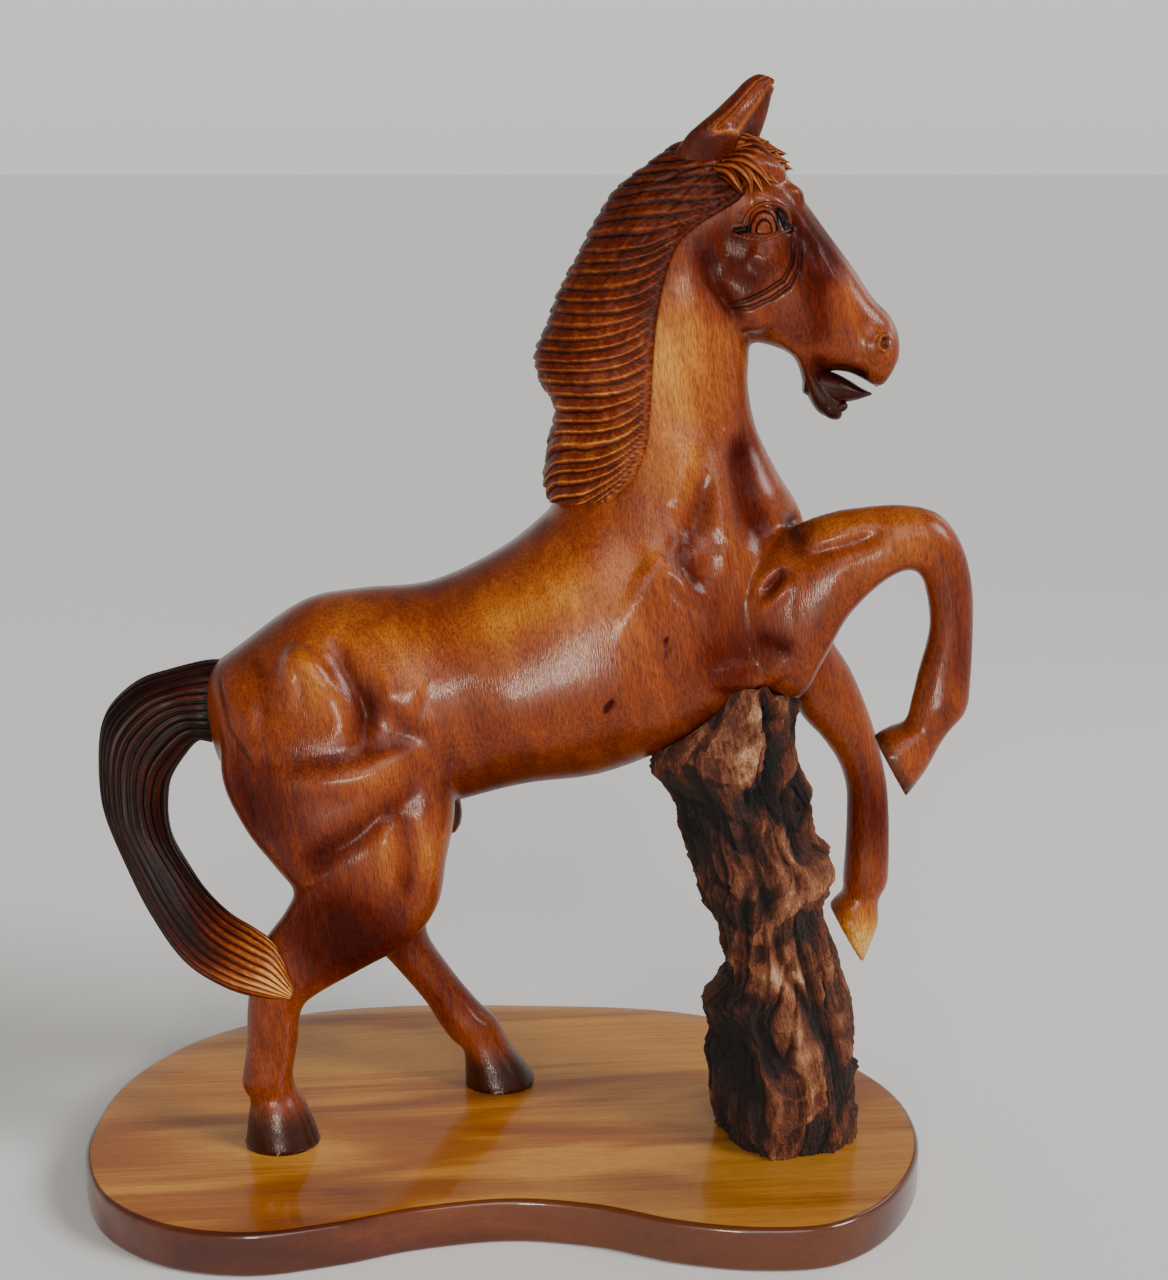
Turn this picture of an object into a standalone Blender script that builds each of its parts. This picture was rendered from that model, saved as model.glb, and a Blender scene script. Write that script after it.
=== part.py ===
"""Carved wooden horse rearing with its chest on a rough stump, on a kidney-shaped base.

Metres, +Z up, the horse faces +X. The underside of the base is at Z = 0.
The tables of the figure are in units of which FIGURE_UNITS make the height of
the horse, from the soles of its hind hooves to the tips of its ears, and they
count their heights from those soles.
"""

import math

import bmesh
import bpy
import numpy as np
from mathutils import Matrix, Vector

# Driving sizes
HORSE_HEIGHT = 0.574
BASE_LENGTH = 0.466
BASE_DEPTH = 0.284
BASE_THICKNESS = 0.025
BASE_EDGE_RADIUS = 0.003
SEAT_GAP = 0.0003

# Units of the tables
FIGURE_UNITS = 574.0
OUTLINE_LENGTH = 466.0
OUTLINE_DEPTH = 284.0

UNIT = HORSE_HEIGHT / FIGURE_UNITS
SOLE_HEIGHT = BASE_THICKNESS + SEAT_GAP

# Fineness of the solids
FUSE_STEP = 2.6
SOFTEN_ROUNDS = 5
SOFTEN_SHARE = 0.5
BODY_SHARE = 0.029
SWELL_RINGS = 7
SWELL_SEGMENTS = 10
SWELL_POLE_GAP = 0.15
MANE_LOCKS = 30
MANE_ARC_POINTS = 11
TAIL_RINGS = 22
TAIL_RIDGES = 12
EAR_SEGMENTS = 12
LOCK_RINGS = 7
LID_RINGS = 9
SMALL_SEGMENTS = 6
TONGUE_RINGS = 9
TONGUE_SEGMENTS = 10
STUMP_RINGS = 22
STUMP_SEGMENTS = 26
STUMP_SQUARENESS = 2.2
BASE_POINTS = 50
BASE_EDGE_TURNS = (0, 45, 90)

# Carving depths, in figure units unless they are shares
MANE_RISE = 1.5
MANE_GROOVE = 1.3
MANE_SPAN = (0.02, 0.95)
MANE_SWEEP = 0.075
MANE_SWEEP_POWER = 2.2
MANE_BACK_POWER = 0.85
MANE_SIDE_POWER = 0.75
MANE_CORE = 0.10
MANE_CORE_WIDTH = 0.72
TAIL_RISE = 0.9
TAIL_GROOVE = 1.3
TAIL_FULL_RADIUS = 16
EAR_WIDTHS = (0.90, 1.0, 1.0, 0.96, 0.86, 0.70, 0.48, 0.20)
EAR_HOLLOWS = (0.0, 0.5, 1, 1, 1, 0.9, 0.6, 0.0)
EAR_THICKNESS = 0.62
EAR_DENT = 0.75
LOCK_THICKNESS = 0.8
LID_THICKNESS = 2.0
LID_BULGE = 7.0
LID_REACH = 20
LID_TAPER = 0.35
NOSTRIL_TILT = 70
SEAT_CLEARANCE = 1.5 * SEAT_GAP

# Each station of a limb or of the trunk is two points of its outline seen from
# the side (x, z and x, z), then its middle y and its half width
TRUNK = (
    (-158, 263, -152, 211, 0, 20),
    (-144, 273, -131, 188, 0, 38),
    (-106, 300, -91, 170, 0, 46),
    (-74, 307, -46, 182, 0, 46),
    (-36, 311, -13, 192, 0, 46),
    (2, 329, 18, 200, 0, 48),
    (26, 348, 56, 205, 0, 50),
    (30, 353, 95, 220, 0, 50),
    (33, 360, 133, 238, 0, 48),
    (36, 369, 164, 251, 0, 44),
    (38, 377, 173, 296, 0, 40),
    (40, 386, 165, 345, 0, 35),
    (44, 404, 150, 372, 0, 31),
    (47, 425, 139, 394, 0, 28),
    (52, 451, 134, 417, 0, 26),
    (62, 480, 134, 438, 0, 24),
    (79, 508, 130, 452, 0, 24),
    (99, 528, 131, 477, 0, 22),
)
HEAD = (
    (107, 538, 114, 467, 0, 20),
    (125, 538, 129, 444, 0, 24),
    (146, 530, 148, 437, 0, 25),
    (159, 515, 159, 432, 0, 24),
    (172, 498, 165, 426, 0, 20),
    (186, 480, 174, 423, 0, 17),
    (198, 463, 186, 423, 0, 16),
    (207, 454, 195, 420, 0, 16),
    (212, 444, 203, 416, 0, 14),
    (213, 433, 207, 421, 0, 9),
)
JAW = (
    (152, 452, 146, 440, 0, 14),
    (161, 441, 153, 436, 0, 14),
    (169, 431, 163, 423, 0, 12),
    (174, 423, 166, 412, 0, 11),
    (181, 417, 171, 404, 0, 10),
    (186, 412, 177, 398, 0, 8),
)
TONGUE = (
    (166, 428, 166, 414, 0, 9),
    (173, 426, 172, 410, 0, 9),
    (185, 423, 182, 405, 0, 9),
    (192, 418, 189, 409, 0, 8),
    (198, 414, 197, 411, 0, 4),
)
NEAR_FORE = (
    (128, 325, 128, 275, -18, 16),
    (145, 339, 141, 263, -25, 20),
    (162, 350, 161, 255, -32, 19),
    (177, 356, 173, 276, -36, 17),
    (195, 359, 184, 299, -38, 15),
    (213, 360, 198, 316, -40, 14),
    (231, 355, 211, 325, -40, 13.5),
    (243, 339, 220, 325, -40, 13),
    (249, 318, 225, 316, -40, 12.5),
    (251, 294, 228, 295, -40, 11.5),
    (251, 267, 223, 271, -40, 11.5),
    (249, 251, 220, 255, -40, 13),
    (241, 240, 217, 244, -40, 11),
    (236, 232, 209, 241, -40, 12),
    (229, 218, 201, 236, -40, 14),
    (219, 203, 200, 237, -40, 14),
)
FAR_FORE = (
    (150, 320, 145, 260, 20, 18),
    (167, 318, 163, 243, 28, 18),
    (184, 276, 170, 228, 32, 17),
    (198, 253, 183, 213, 36, 15),
    (209, 228, 193, 198, 38, 14),
    (217, 204, 198, 183, 40, 13),
    (222, 180, 199, 171, 40, 12),
    (224, 150, 199, 150, 40, 11.5),
    (224, 126, 198, 127, 40, 12.5),
    (220, 116, 198, 118, 40, 11),
    (219, 110, 193, 113, 40, 12),
    (219, 98, 194, 104, 40, 13),
    (211, 74, 190, 111, 40, 13),
)
NEAR_HIND = (
    (-51, 283, -145, 261, -18, 20),
    (-30, 241, -148, 213, -26, 26),
    (-22, 198, -136, 183, -30, 27),
    (-27, 164, -120, 162, -33, 24),
    (-32, 139, -110, 148, -35, 20),
    (-47, 119, -116, 134, -36, 17),
    (-72, 104, -125, 122, -36, 15),
    (-99, 88, -132, 108, -36, 14),
    (-108, 78, -137, 84, -36, 13),
    (-111, 57, -139, 57, -36, 12),
    (-114, 41, -142, 35, -36, 13.5),
    (-113, 32, -138, 27, -36, 12),
    (-108, 23, -139, 18, -36, 15),
    (-101, 3, -141, 3, -36, 19),
    (-100, -6, -142, -6, -36, 19),
)
FAR_HIND = (
    (-44, 240, -145, 229, 18, 20),
    (-35, 178, -138, 160, 28, 26),
    (-35, 141, -111, 122, 32, 24),
    (-42, 112, -92, 100, 35, 19),
    (-44, 93, -73, 85, 37, 15),
    (-31, 71, -59, 69, 37, 13),
    (-15, 50, -46, 52, 37, 12),
    (-4, 39, -38, 38, 37, 13),
    (1, 29, -31, 28, 37, 12.5),
    (5, 21, -24, 21, 37, 14),
    (17, 4, -23, 2, 37, 18),
    (18, -6, -23, -6, 37, 18),
)
TAIL = (
    (-146, 268, -146, 220, 0, 16),
    (-159, 267, -156, 221, 0, 20),
    (-179, 262, -164, 222, 0, 20),
    (-195, 257, -172, 214, -2, 20),
    (-209, 246, -180, 201, -4, 20),
    (-216, 233, -182, 187, -6, 20),
    (-218, 211, -181, 176, -9, 19),
    (-216, 189, -178, 166, -12, 19),
    (-206, 162, -170, 154, -17, 18),
    (-191, 131, -159, 141, -24, 17),
    (-172, 106, -146, 132, -32, 16),
    (-149, 94, -131, 126, -40, 15),
    (-128, 90, -118, 118, -46, 12),
    (-112, 90, -109, 98, -48, 6),
)
# Rear outline of the mane and its front edge (x, z and x, z), then the half
# width of the mane at that edge
MANE = (
    (118, 543, 136, 527, 14),
    (100, 543, 128, 515, 21),
    (83, 535, 116, 507, 25),
    (66, 520, 104, 500, 27),
    (51, 499, 95, 491, 28),
    (39, 476, 89, 476, 28),
    (31, 458, 85, 456, 30),
    (23, 438, 83, 436, 31),
    (23, 423, 82, 417, 32),
    (30, 406, 81, 402, 34),
    (27, 388, 79, 388, 36),
    (26, 370, 72, 372, 38),
    (30, 352, 57, 357, 34),
)
STUMP = (
    (86, 262, 160, 282, 0, 36),
    (85, 222, 163, 246, 0, 36),
    (88, 200, 164, 222, 0, 35),
    (95, 179, 167, 193, 0, 34),
    (106, 151, 173, 160, -4, 33),
    (114, 125, 180, 132, -7, 33),
    (122, 98, 184, 107, -11, 33),
    (119, 69, 188, 81, -14, 34),
    (119, 43, 193, 50, -17, 35),
    (121, 19, 197, 23, -19, 36),
    (124, 0, 199, 0, -20, 37),
)
# Each limb with its rings, the points round a ring and how square the ring is
LIMBS = (
    (TRUNK, 70, 28, 2.15),
    (HEAD, 40, 24, 2.2),
    (JAW, 16, 16, 2.0),
    (NEAR_FORE, 60, 20, 2.1),
    (FAR_FORE, 60, 20, 2.1),
    (NEAR_HIND, 60, 24, 2.1),
    (FAR_HIND, 60, 24, 2.1),
)
# Muscles and bones that show on both sides: x, z, y, three radii (along, up
# and across) and the tilt of the first radius above the horizontal in degrees
SWELLS = (
    (-86, 264, 37, 25, 7, 9, -48),
    (-106, 258, 34, 26, 8, 10, 88),
    (-44, 212, 34, 26, 11, 13, 84),
    (-92, 214, 36, 40, 18, 15, 70),
    (68, 296, 38, 44, 16, 12, 60),
    (100, 322, 34, 30, 12, 12, 100),
    (120, 270, 34, 20, 12, 13, -10),
    (152, 300, 18, 34, 14, 16, 84),
    (106, 372, 21, 40, 7, 9, 80),
    (131, 470, 15, 25, 21, 9, 118),
    (142, 511, 19, 14, 6, 6, -35),
    (170, 478, 12, 26, 6, 8, -55),
    (199, 440, 12, 10, 9, 6, 60),
)
EYE = (141, 502, 17.5, 9.5)
EYE_LID = ((128, 498), (133, 507), (142, 510.5), (150, 506), (154, 497))
NOSTRIL = (204, 440, 16, 3.2, 5.2, 4.0)
# Waves round the stump: height, how many round it, share of the drift, phase
BARK_WAVES = ((2.2, 5, 1.0, 0.7), (1.6, 9, -0.5, 2.1))
# Steps and lumps up the stump: size, radians per unit of height, count, phase
BARK_STEPS = (1.3, 0.15, 4, 0.5)
BARK_LUMPS = (1.6, 0.062, 2, 1.3)
# Drift of the waves up the stump: radians, radians per unit of height, phase
BARK_DRIFT = ((0.6, 0.021, 0.0), (0.25, 0.057, 1.0))
# Locks of the forelock: x, y, z down the middle of each, then its half width
FORELOCK = (
    ((124, -7, 540, 6), (137, -9, 538, 6), (148, -11, 532, 5), (156, -12, 523, 2)),
    ((122, 0, 541, 6), (138, -2, 540, 6), (151, -2, 533, 5), (158, -3, 524, 2)),
    ((124, 7, 540, 6), (137, 7, 538, 6), (149, 7, 532, 5), (157, 7, 523, 2)),
    ((119, -16, 535, 5), (130, -20, 536, 5), (140, -22, 531, 5), (147, -22, 523, 2)),
    ((119, 16, 535, 5), (130, 20, 536, 5), (140, 22, 531, 5), (147, 22, 523, 2)),
)
# Each ear: its foot, its tip, the half widths of the foot and the way it opens
NEAR_EAR = ((112, -13, 531), (137, -18, 573.5), 12.0, (0.76, -0.65, 0.0))
FAR_EAR = ((116, 13, 531), (144, 18, 573.0), 12.0, (0.76, 0.65, 0.0))
# Kidney outline of the base, counted round from the left of the front hollow
OUTLINE = (
    (8, -103),
    (54, -109),
    (97, -125),
    (140, -132),
    (180, -126),
    (213, -95),
    (234, -42),
    (231, 17),
    (203, 68),
    (155, 115),
    (95, 140),
    (10, 147),
    (-75, 146),
    (-140, 131),
    (-192, 96),
    (-223, 43),
    (-231, -10),
    (-227, -55),
    (-207, -99),
    (-170, -128),
    (-125, -137),
    (-80, -127),
    (-40, -112),
)


def material(name, colour, roughness):
    """Plain wood colour of one piece, in linear red, green and blue"""
    made = bpy.data.materials.new(name)
    made.use_nodes = True
    shader = made.node_tree.nodes["Principled BSDF"]
    shader.inputs["Base Color"].default_value = (*colour, 1.0)
    shader.inputs["Roughness"].default_value = roughness
    shader.inputs["Metallic"].default_value = 0.0
    return made


def scaled(points):
    """Figure units to metres, with the soles at height 0"""
    return np.asarray(points, float) * UNIT


def cubic(padded, along):
    """Smooth curve read at places counted from the second of its rows"""
    start = along.astype(int)
    part = (along - start)[..., None]
    a, b, c, d = (padded[start + step] for step in range(4))
    bend = 2 * a - 5 * b + 4 * c - d
    twist = 3 * b - a - 3 * c + d
    return 0.5 * (2 * b + (c - a) * part + bend * part**2 + twist * part**3)


def spline(rows, share):
    """Rows read off a smooth curve through the given rows, at shares of its length"""
    rows = np.array(rows, float)
    padded = np.vstack([2 * rows[0] - rows[1], rows, 2 * rows[-1] - rows[-2], rows[-1]])
    return cubic(padded, np.clip(share, 0, 1) * (len(rows) - 1))


def closed_spline(points, count):
    """Points evenly along a smooth closed curve through the given points"""
    points = np.array(points, float)
    looped = np.vstack([points[-1], points, points[:2]])
    return cubic(looped, np.arange(count) * len(points) / count)


def rings_of(rows, rings, segments, power=2.0):
    """Rounded sections spanned between the two outlines of a limb"""
    read = spline(rows, np.linspace(0, 1, rings))
    angle = np.arange(segments) * 2 * math.pi / segments
    across, side = np.cos(angle), np.sin(angle)
    across = np.sign(across) * np.abs(across) ** (2 / power)
    side = np.sign(side) * np.abs(side) ** (2 / power)
    middle = (read[:, 0:2] + read[:, 2:4]) / 2
    half = (read[:, 0:2] - read[:, 2:4]) / 2
    x = middle[:, :1] + half[:, :1] * across
    z = middle[:, 1:] + half[:, 1:] * across
    y = read[:, 4:5] + read[:, 5:6] * side
    return np.stack([x, y, z], axis=-1)


def swell(x, z, y, along, up, across, tilt):
    """Ellipsoid as rings, its first radius tilted in the side view"""
    turn = math.radians(tilt)
    latitude = np.linspace(SWELL_POLE_GAP, math.pi - SWELL_POLE_GAP, SWELL_RINGS)[:, None]
    longitude = np.arange(SWELL_SEGMENTS) * 2 * math.pi / SWELL_SEGMENTS
    first = along * np.cos(latitude) * np.ones(SWELL_SEGMENTS)
    second = up * np.sin(latitude) * np.cos(longitude)
    third = across * np.sin(latitude) * np.sin(longitude)
    return np.stack(
        [
            x + first * math.cos(turn) - second * math.sin(turn),
            y + third,
            z + first * math.sin(turn) + second * math.cos(turn),
        ],
        axis=-1,
    )


def solid_of(name, tubes):
    """One mesh of closed tubes, each a stack of rings with a fan at each end"""
    points, faces = [], []
    for tube in tubes:
        rings, segments = tube.shape[:2]
        first = len(points)
        points.extend(tube.reshape(-1, 3))
        points.extend([tube[0].mean(axis=0), tube[-1].mean(axis=0)])
        head = first + rings * segments
        for ring in range(rings - 1):
            for seg in range(segments):
                a = first + ring * segments + seg
                b = first + ring * segments + (seg + 1) % segments
                faces.append((a, b, b + segments, a + segments))
        for seg in range(segments):
            nxt = (seg + 1) % segments
            last = first + (rings - 1) * segments
            faces.append((first + nxt, first + seg, head))
            faces.append((last + seg, last + nxt, head + 1))
    mesh = bpy.data.meshes.new(name)
    mesh.from_pydata([Vector(p) for p in points], [], faces)
    outward(mesh)
    made = bpy.data.objects.new(name, mesh)
    bpy.context.scene.collection.objects.link(made)
    return made


def outward(mesh):
    """Turns the faces of a closed mesh to look outward"""
    shell = bmesh.new()
    shell.from_mesh(mesh)
    bmesh.ops.recalc_face_normals(shell, faces=shell.faces)
    shell.to_mesh(mesh)
    shell.free()


def settled(made):
    """Gives an object the mesh that its modifiers make"""
    graph = bpy.context.evaluated_depsgraph_get()
    graph.update()
    mesh = bpy.data.meshes.new_from_object(made.evaluated_get(graph))
    made.modifiers.clear()
    made.data = mesh
    return made


def cut_or_joined(made, other, operation):
    """Boolean with a second object, which is used up"""
    change = made.modifiers.new("Boolean", "BOOLEAN")
    change.operation = operation
    change.solver = "EXACT"
    change.object = other
    settled(made)
    bpy.data.objects.remove(other)
    return made


def levelled(made):
    """Cuts a closed object off flat at height 0"""
    shell = bmesh.new()
    shell.from_mesh(made.data)
    everything = shell.verts[:] + shell.edges[:] + shell.faces[:]
    cut = bmesh.ops.bisect_plane(
        shell,
        geom=everything,
        plane_co=(0, 0, 0),
        plane_no=(0, 0, -1),
        clear_outer=True,
    )
    rim = [e for e in cut["geom_cut"] if isinstance(e, bmesh.types.BMEdge)]
    bmesh.ops.contextual_create(shell, geom=rim)
    bmesh.ops.holes_fill(shell, edges=shell.edges[:])
    bmesh.ops.triangulate(shell, faces=[f for f in shell.faces if len(f.verts) > 4])
    bmesh.ops.recalc_face_normals(shell, faces=shell.faces)
    shell.to_mesh(made.data)
    shell.free()
    return made


def body():
    """Trunk, neck, head, legs and their muscles run together as one carving"""
    tubes = [rings_of(*limb) for limb in LIMBS]
    for x, z, y, along, up, across, tilt in SWELLS:
        for side in (-1, 1):
            tubes.append(swell(x, z, side * y, along, up, across, tilt))
    made = solid_of("horse", [scaled(tube) for tube in tubes])
    fuse = made.modifiers.new("Fuse", "REMESH")
    fuse.mode = "VOXEL"
    fuse.voxel_size = FUSE_STEP * UNIT
    soften = made.modifiers.new("Soften", "SMOOTH")
    soften.factor = SOFTEN_SHARE
    soften.iterations = SOFTEN_ROUNDS
    facet = made.modifiers.new("Facet", "DECIMATE")
    facet.ratio = BODY_SHARE
    settled(made)
    return levelled(made)


def mane():
    """Comb of locks that sweep back from a raised front edge on both sides"""
    rings = 2 * MANE_LOCKS + 1
    turn = np.linspace(-math.pi / 2, math.pi / 2, MANE_ARC_POINTS)
    back = np.cos(turn) ** MANE_BACK_POWER
    side = np.sign(turn) * np.abs(np.sin(turn)) ** MANE_SIDE_POWER
    even = np.linspace(*MANE_SPAN, rings)[:, None]
    sweep = MANE_SWEEP * (1 - (np.abs(turn) * 2 / math.pi) ** MANE_SWEEP_POWER)
    read = spline(MANE, even + sweep * np.sin(even * math.pi))
    raised = np.arange(rings) % 2 == 1
    ridge = np.where(raised, MANE_RISE, -MANE_GROOVE)[:, None]
    rear, front = read[..., 0:2], read[..., 2:4]
    line = rear - front
    length = np.linalg.norm(line, axis=-1)
    flat = front + line * (back * (1 + ridge / length))[..., None]
    y = (read[..., 4] + ridge) * side
    outer = np.stack([flat[..., 0], y, flat[..., 1]], axis=-1)
    core = front + line * MANE_CORE
    inner = [
        np.stack([core[:, edge, 0], MANE_CORE_WIDTH * y[:, edge], core[:, edge, 1]], axis=-1)
        for edge in (-1, 0)
    ]
    tube = np.concatenate([outer, inner[0][:, None], inner[1][:, None]], axis=1)
    return solid_of("mane", [scaled(tube)])


def tail():
    """Arched tail of long ridges"""
    segments = 2 * TAIL_RIDGES
    tube = rings_of(TAIL, TAIL_RINGS, segments)
    middle = tube.mean(axis=1, keepdims=True)
    out = tube - middle
    length = np.linalg.norm(out, axis=-1, keepdims=True)
    raised = np.arange(segments) % 2 == 1
    depth = np.where(raised, TAIL_RISE, -TAIL_GROOVE)[None, :, None]
    size = np.minimum(length.mean(axis=1, keepdims=True) / TAIL_FULL_RADIUS, 1)
    return solid_of("tail", [scaled(tube + out / length * depth * size)])


def ear(foot, tip, width, opening):
    """Pointed leaf with a hollow on the side that it opens to"""
    foot, tip = np.array(foot, float), np.array(tip, float)
    axis = (tip - foot) / np.linalg.norm(tip - foot)
    front = np.array(opening) - axis * np.dot(opening, axis)
    front /= np.linalg.norm(front)
    side = np.cross(axis, front)
    share = np.linspace(0, 1, len(EAR_WIDTHS))
    wide = width * np.array(EAR_WIDTHS)
    angle = np.arange(EAR_SEGMENTS) * 2 * math.pi / EAR_SEGMENTS
    away = np.minimum(angle, 2 * math.pi - angle)
    dent = EAR_DENT * np.exp(-((away / EAR_DENT) ** 2))
    reach = 1 - np.array(EAR_HOLLOWS)[:, None] * dent
    stem = foot + share[:, None] * (tip - foot)
    ahead = wide[:, None] * EAR_THICKNESS * np.cos(angle) * reach
    aside = wide[:, None] * np.sin(angle)
    points = stem[:, None] + ahead[..., None] * front + aside[..., None] * side
    return solid_of("ear", [scaled(points)])


def lock(stations):
    """Small tapered lock along its middle line"""
    read = spline(stations, np.linspace(0, 1, LOCK_RINGS))
    angle = np.arange(SMALL_SEGMENTS) * 2 * math.pi / SMALL_SEGMENTS
    middle, width = read[:, None, :3], read[:, 3][:, None]
    tangent = np.gradient(read[:, :3], axis=0)
    tangent /= np.linalg.norm(tangent, axis=1, keepdims=True)
    out = np.stack([-tangent[:, 2], 0 * tangent[:, 1], tangent[:, 0]], axis=-1)
    side = np.cross(tangent, out)
    points = (
        middle
        + (LOCK_THICKNESS * width * np.cos(angle))[..., None] * out[:, None]
        + (width * np.sin(angle))[..., None] * side[:, None]
    )
    return solid_of("lock", [scaled(points)])


def eye(side):
    """Ball of the eye and the lid that arches over it"""
    x, z, y, radius = EYE
    ball = solid_of("eye", [scaled(swell(x, z, side * y, radius, radius, radius, 0))])
    share = np.linspace(0, 1, LID_RINGS)[:, None]
    rows = spline(EYE_LID, share[:, 0])
    angle = np.arange(SMALL_SEGMENTS) * 2 * math.pi / SMALL_SEGMENTS
    bulge = np.sqrt(1 - ((rows[:, :1] - x) / LID_REACH) ** 2)
    thick = LID_THICKNESS * np.sin(LID_TAPER + share * (math.pi - 2 * LID_TAPER))
    points = np.stack(
        [
            rows[:, :1] + np.zeros(SMALL_SEGMENTS),
            side * (y + LID_BULGE * bulge) + 2 * thick * np.sin(angle),
            rows[:, 1:] + thick * np.cos(angle),
        ],
        axis=-1,
    )
    return ball, solid_of("lid", [scaled(points)])


def horse():
    """The whole horse, one carving"""
    made = body()
    cut_or_joined(made, tail(), "UNION")
    cut_or_joined(made, mane(), "UNION")
    x, z, y, *radii = NOSTRIL
    for side in (-1, 1):
        pit = swell(x, z, side * y, *radii, NOSTRIL_TILT)
        cut_or_joined(made, solid_of("pit", [scaled(pit)]), "DIFFERENCE")
        for shape in eye(side):
            cut_or_joined(made, shape, "UNION")
    tongue = rings_of(TONGUE, TONGUE_RINGS, TONGUE_SEGMENTS)
    cut_or_joined(made, solid_of("tongue", [scaled(tongue)]), "UNION")
    for size in (NEAR_EAR, FAR_EAR):
        cut_or_joined(made, ear(*size), "UNION")
    for stations in FORELOCK:
        cut_or_joined(made, lock(stations), "UNION")
    made.data.materials.clear()
    made.data.materials.append(material("stained_wood", (0.20, 0.062, 0.014), 0.28))
    return made


def bark(angle, height):
    """Depth of the ridges, fissures and hollows round the stump"""
    drift = sum(size * np.sin(height * rate + phase) for size, rate, phase in BARK_DRIFT)
    depth = 0
    for size, count, share, phase in BARK_WAVES:
        depth = depth + size * np.sin(count * (angle + share * drift) + phase)
    size, rate, count, phase = BARK_STEPS
    depth = depth + size * np.sin(height * rate + count * angle + phase)
    size, rate, count, phase = BARK_LUMPS
    lumps = np.sin(height * rate + count * angle) * np.cos((count + 1) * angle + phase)
    return depth + size * lumps


def stump(figure):
    """Rough stump whose slanted top is hollowed to seat the chest"""
    tube = rings_of(STUMP, STUMP_RINGS, STUMP_SEGMENTS, STUMP_SQUARENESS)
    angle = np.arange(STUMP_SEGMENTS) * 2 * math.pi / STUMP_SEGMENTS
    middle = tube.mean(axis=1, keepdims=True)
    out = tube - middle
    length = np.linalg.norm(out, axis=-1, keepdims=True)
    tube = tube + out / length * bark(angle, tube[..., 2])[..., None]
    made = solid_of("stump", [scaled(tube)])
    seat = bpy.data.objects.new("seat", figure.data.copy())
    bpy.context.scene.collection.objects.link(seat)
    clear = seat.modifiers.new("Clearance", "DISPLACE")
    clear.strength = SEAT_CLEARANCE
    clear.mid_level = 0.0
    settled(seat)
    cut_or_joined(made, seat, "DIFFERENCE")
    made.data.materials.clear()
    made.data.materials.append(material("rough_root_wood", (0.066, 0.030, 0.017), 0.85))
    return made


def base():
    """Kidney-shaped slab with rounded upper and lower edges"""
    stretch = np.array([BASE_LENGTH / OUTLINE_LENGTH, BASE_DEPTH / OUTLINE_DEPTH])
    rim = closed_spline(OUTLINE, BASE_POINTS) * stretch
    ahead = np.roll(rim, -1, axis=0) - np.roll(rim, 1, axis=0)
    inward = np.stack([-ahead[:, 1], ahead[:, 0]], axis=-1)
    inward /= np.linalg.norm(inward, axis=1, keepdims=True)
    lower = []
    for turn in np.radians(BASE_EDGE_TURNS):
        inset = BASE_EDGE_RADIUS * (1 - math.sin(turn))
        lower.append((inset, BASE_EDGE_RADIUS * (1 - math.cos(turn))))
    upper = [(inset, BASE_THICKNESS - height) for inset, height in reversed(lower)]
    levels = lower + upper
    rings = [np.c_[rim + inward * inset, np.full(len(rim), z)] for inset, z in levels]
    made = solid_of("base", [np.array(rings)])
    made.data.materials.append(material("varnished_slab", (0.36, 0.155, 0.045), 0.22))
    return made


def build():
    """Clears the scene and makes the three pieces"""
    for old in list(bpy.data.objects):
        bpy.data.objects.remove(old)
    slab = base()
    figure = horse()
    trunk = stump(figure)
    for made in (figure, trunk):
        made.data.transform(Matrix.Translation((0, 0, SOLE_HEIGHT)))
    for made in (slab, figure, trunk):
        made.data.name = made.name


build()
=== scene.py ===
"""Looks of a carved wooden horse that rears over a rough stump on a kidney-shaped slab.

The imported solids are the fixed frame. Each class below makes one sub-assembly as fine
surfaces in the same place: the horse's body, mane, tail, ears, forelock, eyes and tongue,
the stump and the slab. The figure's tables are in figure units of one millimetre, and
their heights count from the soles of the hind hooves, whose place the frame gives.
"""

import logging
import math
from collections.abc import Callable
from dataclasses import dataclass
from enum import Enum
from functools import partial

import bmesh
import bpy
import numpy as np
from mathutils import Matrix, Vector
from mathutils.bvhtree import BVHTree


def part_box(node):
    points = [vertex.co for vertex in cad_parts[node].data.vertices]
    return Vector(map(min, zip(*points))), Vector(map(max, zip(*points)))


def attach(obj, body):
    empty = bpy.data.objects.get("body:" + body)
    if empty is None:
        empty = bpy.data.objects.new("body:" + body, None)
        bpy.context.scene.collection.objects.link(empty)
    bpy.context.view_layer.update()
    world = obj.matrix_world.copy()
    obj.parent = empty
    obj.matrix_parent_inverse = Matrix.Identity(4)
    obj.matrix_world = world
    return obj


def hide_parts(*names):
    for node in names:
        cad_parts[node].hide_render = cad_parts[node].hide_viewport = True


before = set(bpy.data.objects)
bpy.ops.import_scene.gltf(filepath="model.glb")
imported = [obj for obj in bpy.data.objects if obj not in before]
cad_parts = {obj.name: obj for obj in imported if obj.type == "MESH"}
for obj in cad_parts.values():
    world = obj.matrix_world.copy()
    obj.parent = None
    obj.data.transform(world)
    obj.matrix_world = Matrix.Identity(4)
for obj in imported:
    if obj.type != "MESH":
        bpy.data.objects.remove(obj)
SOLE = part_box("horse")[0][2]

Rows = tuple[tuple[float, ...], ...]
Path = tuple[tuple[float, float], ...]
Triple = tuple[float, float, float]
Inputs = dict[int | str, bpy.types.NodeSocket | float | tuple[float, ...]]

FIGURE_UNIT = 0.001
NOISE_CELLS = 256
ELLIPSOID_RINGS = 20
ELLIPSOID_SEGMENTS = 28
RELAX_IN = 0.52
RELAX_OUT = -0.50
log = logging.getLogger("rearing_horse")


class Side(Enum):
    """Which side of the figure a carved line is on."""

    NEAR = -1
    BOTH = 0
    FAR = 1


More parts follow.
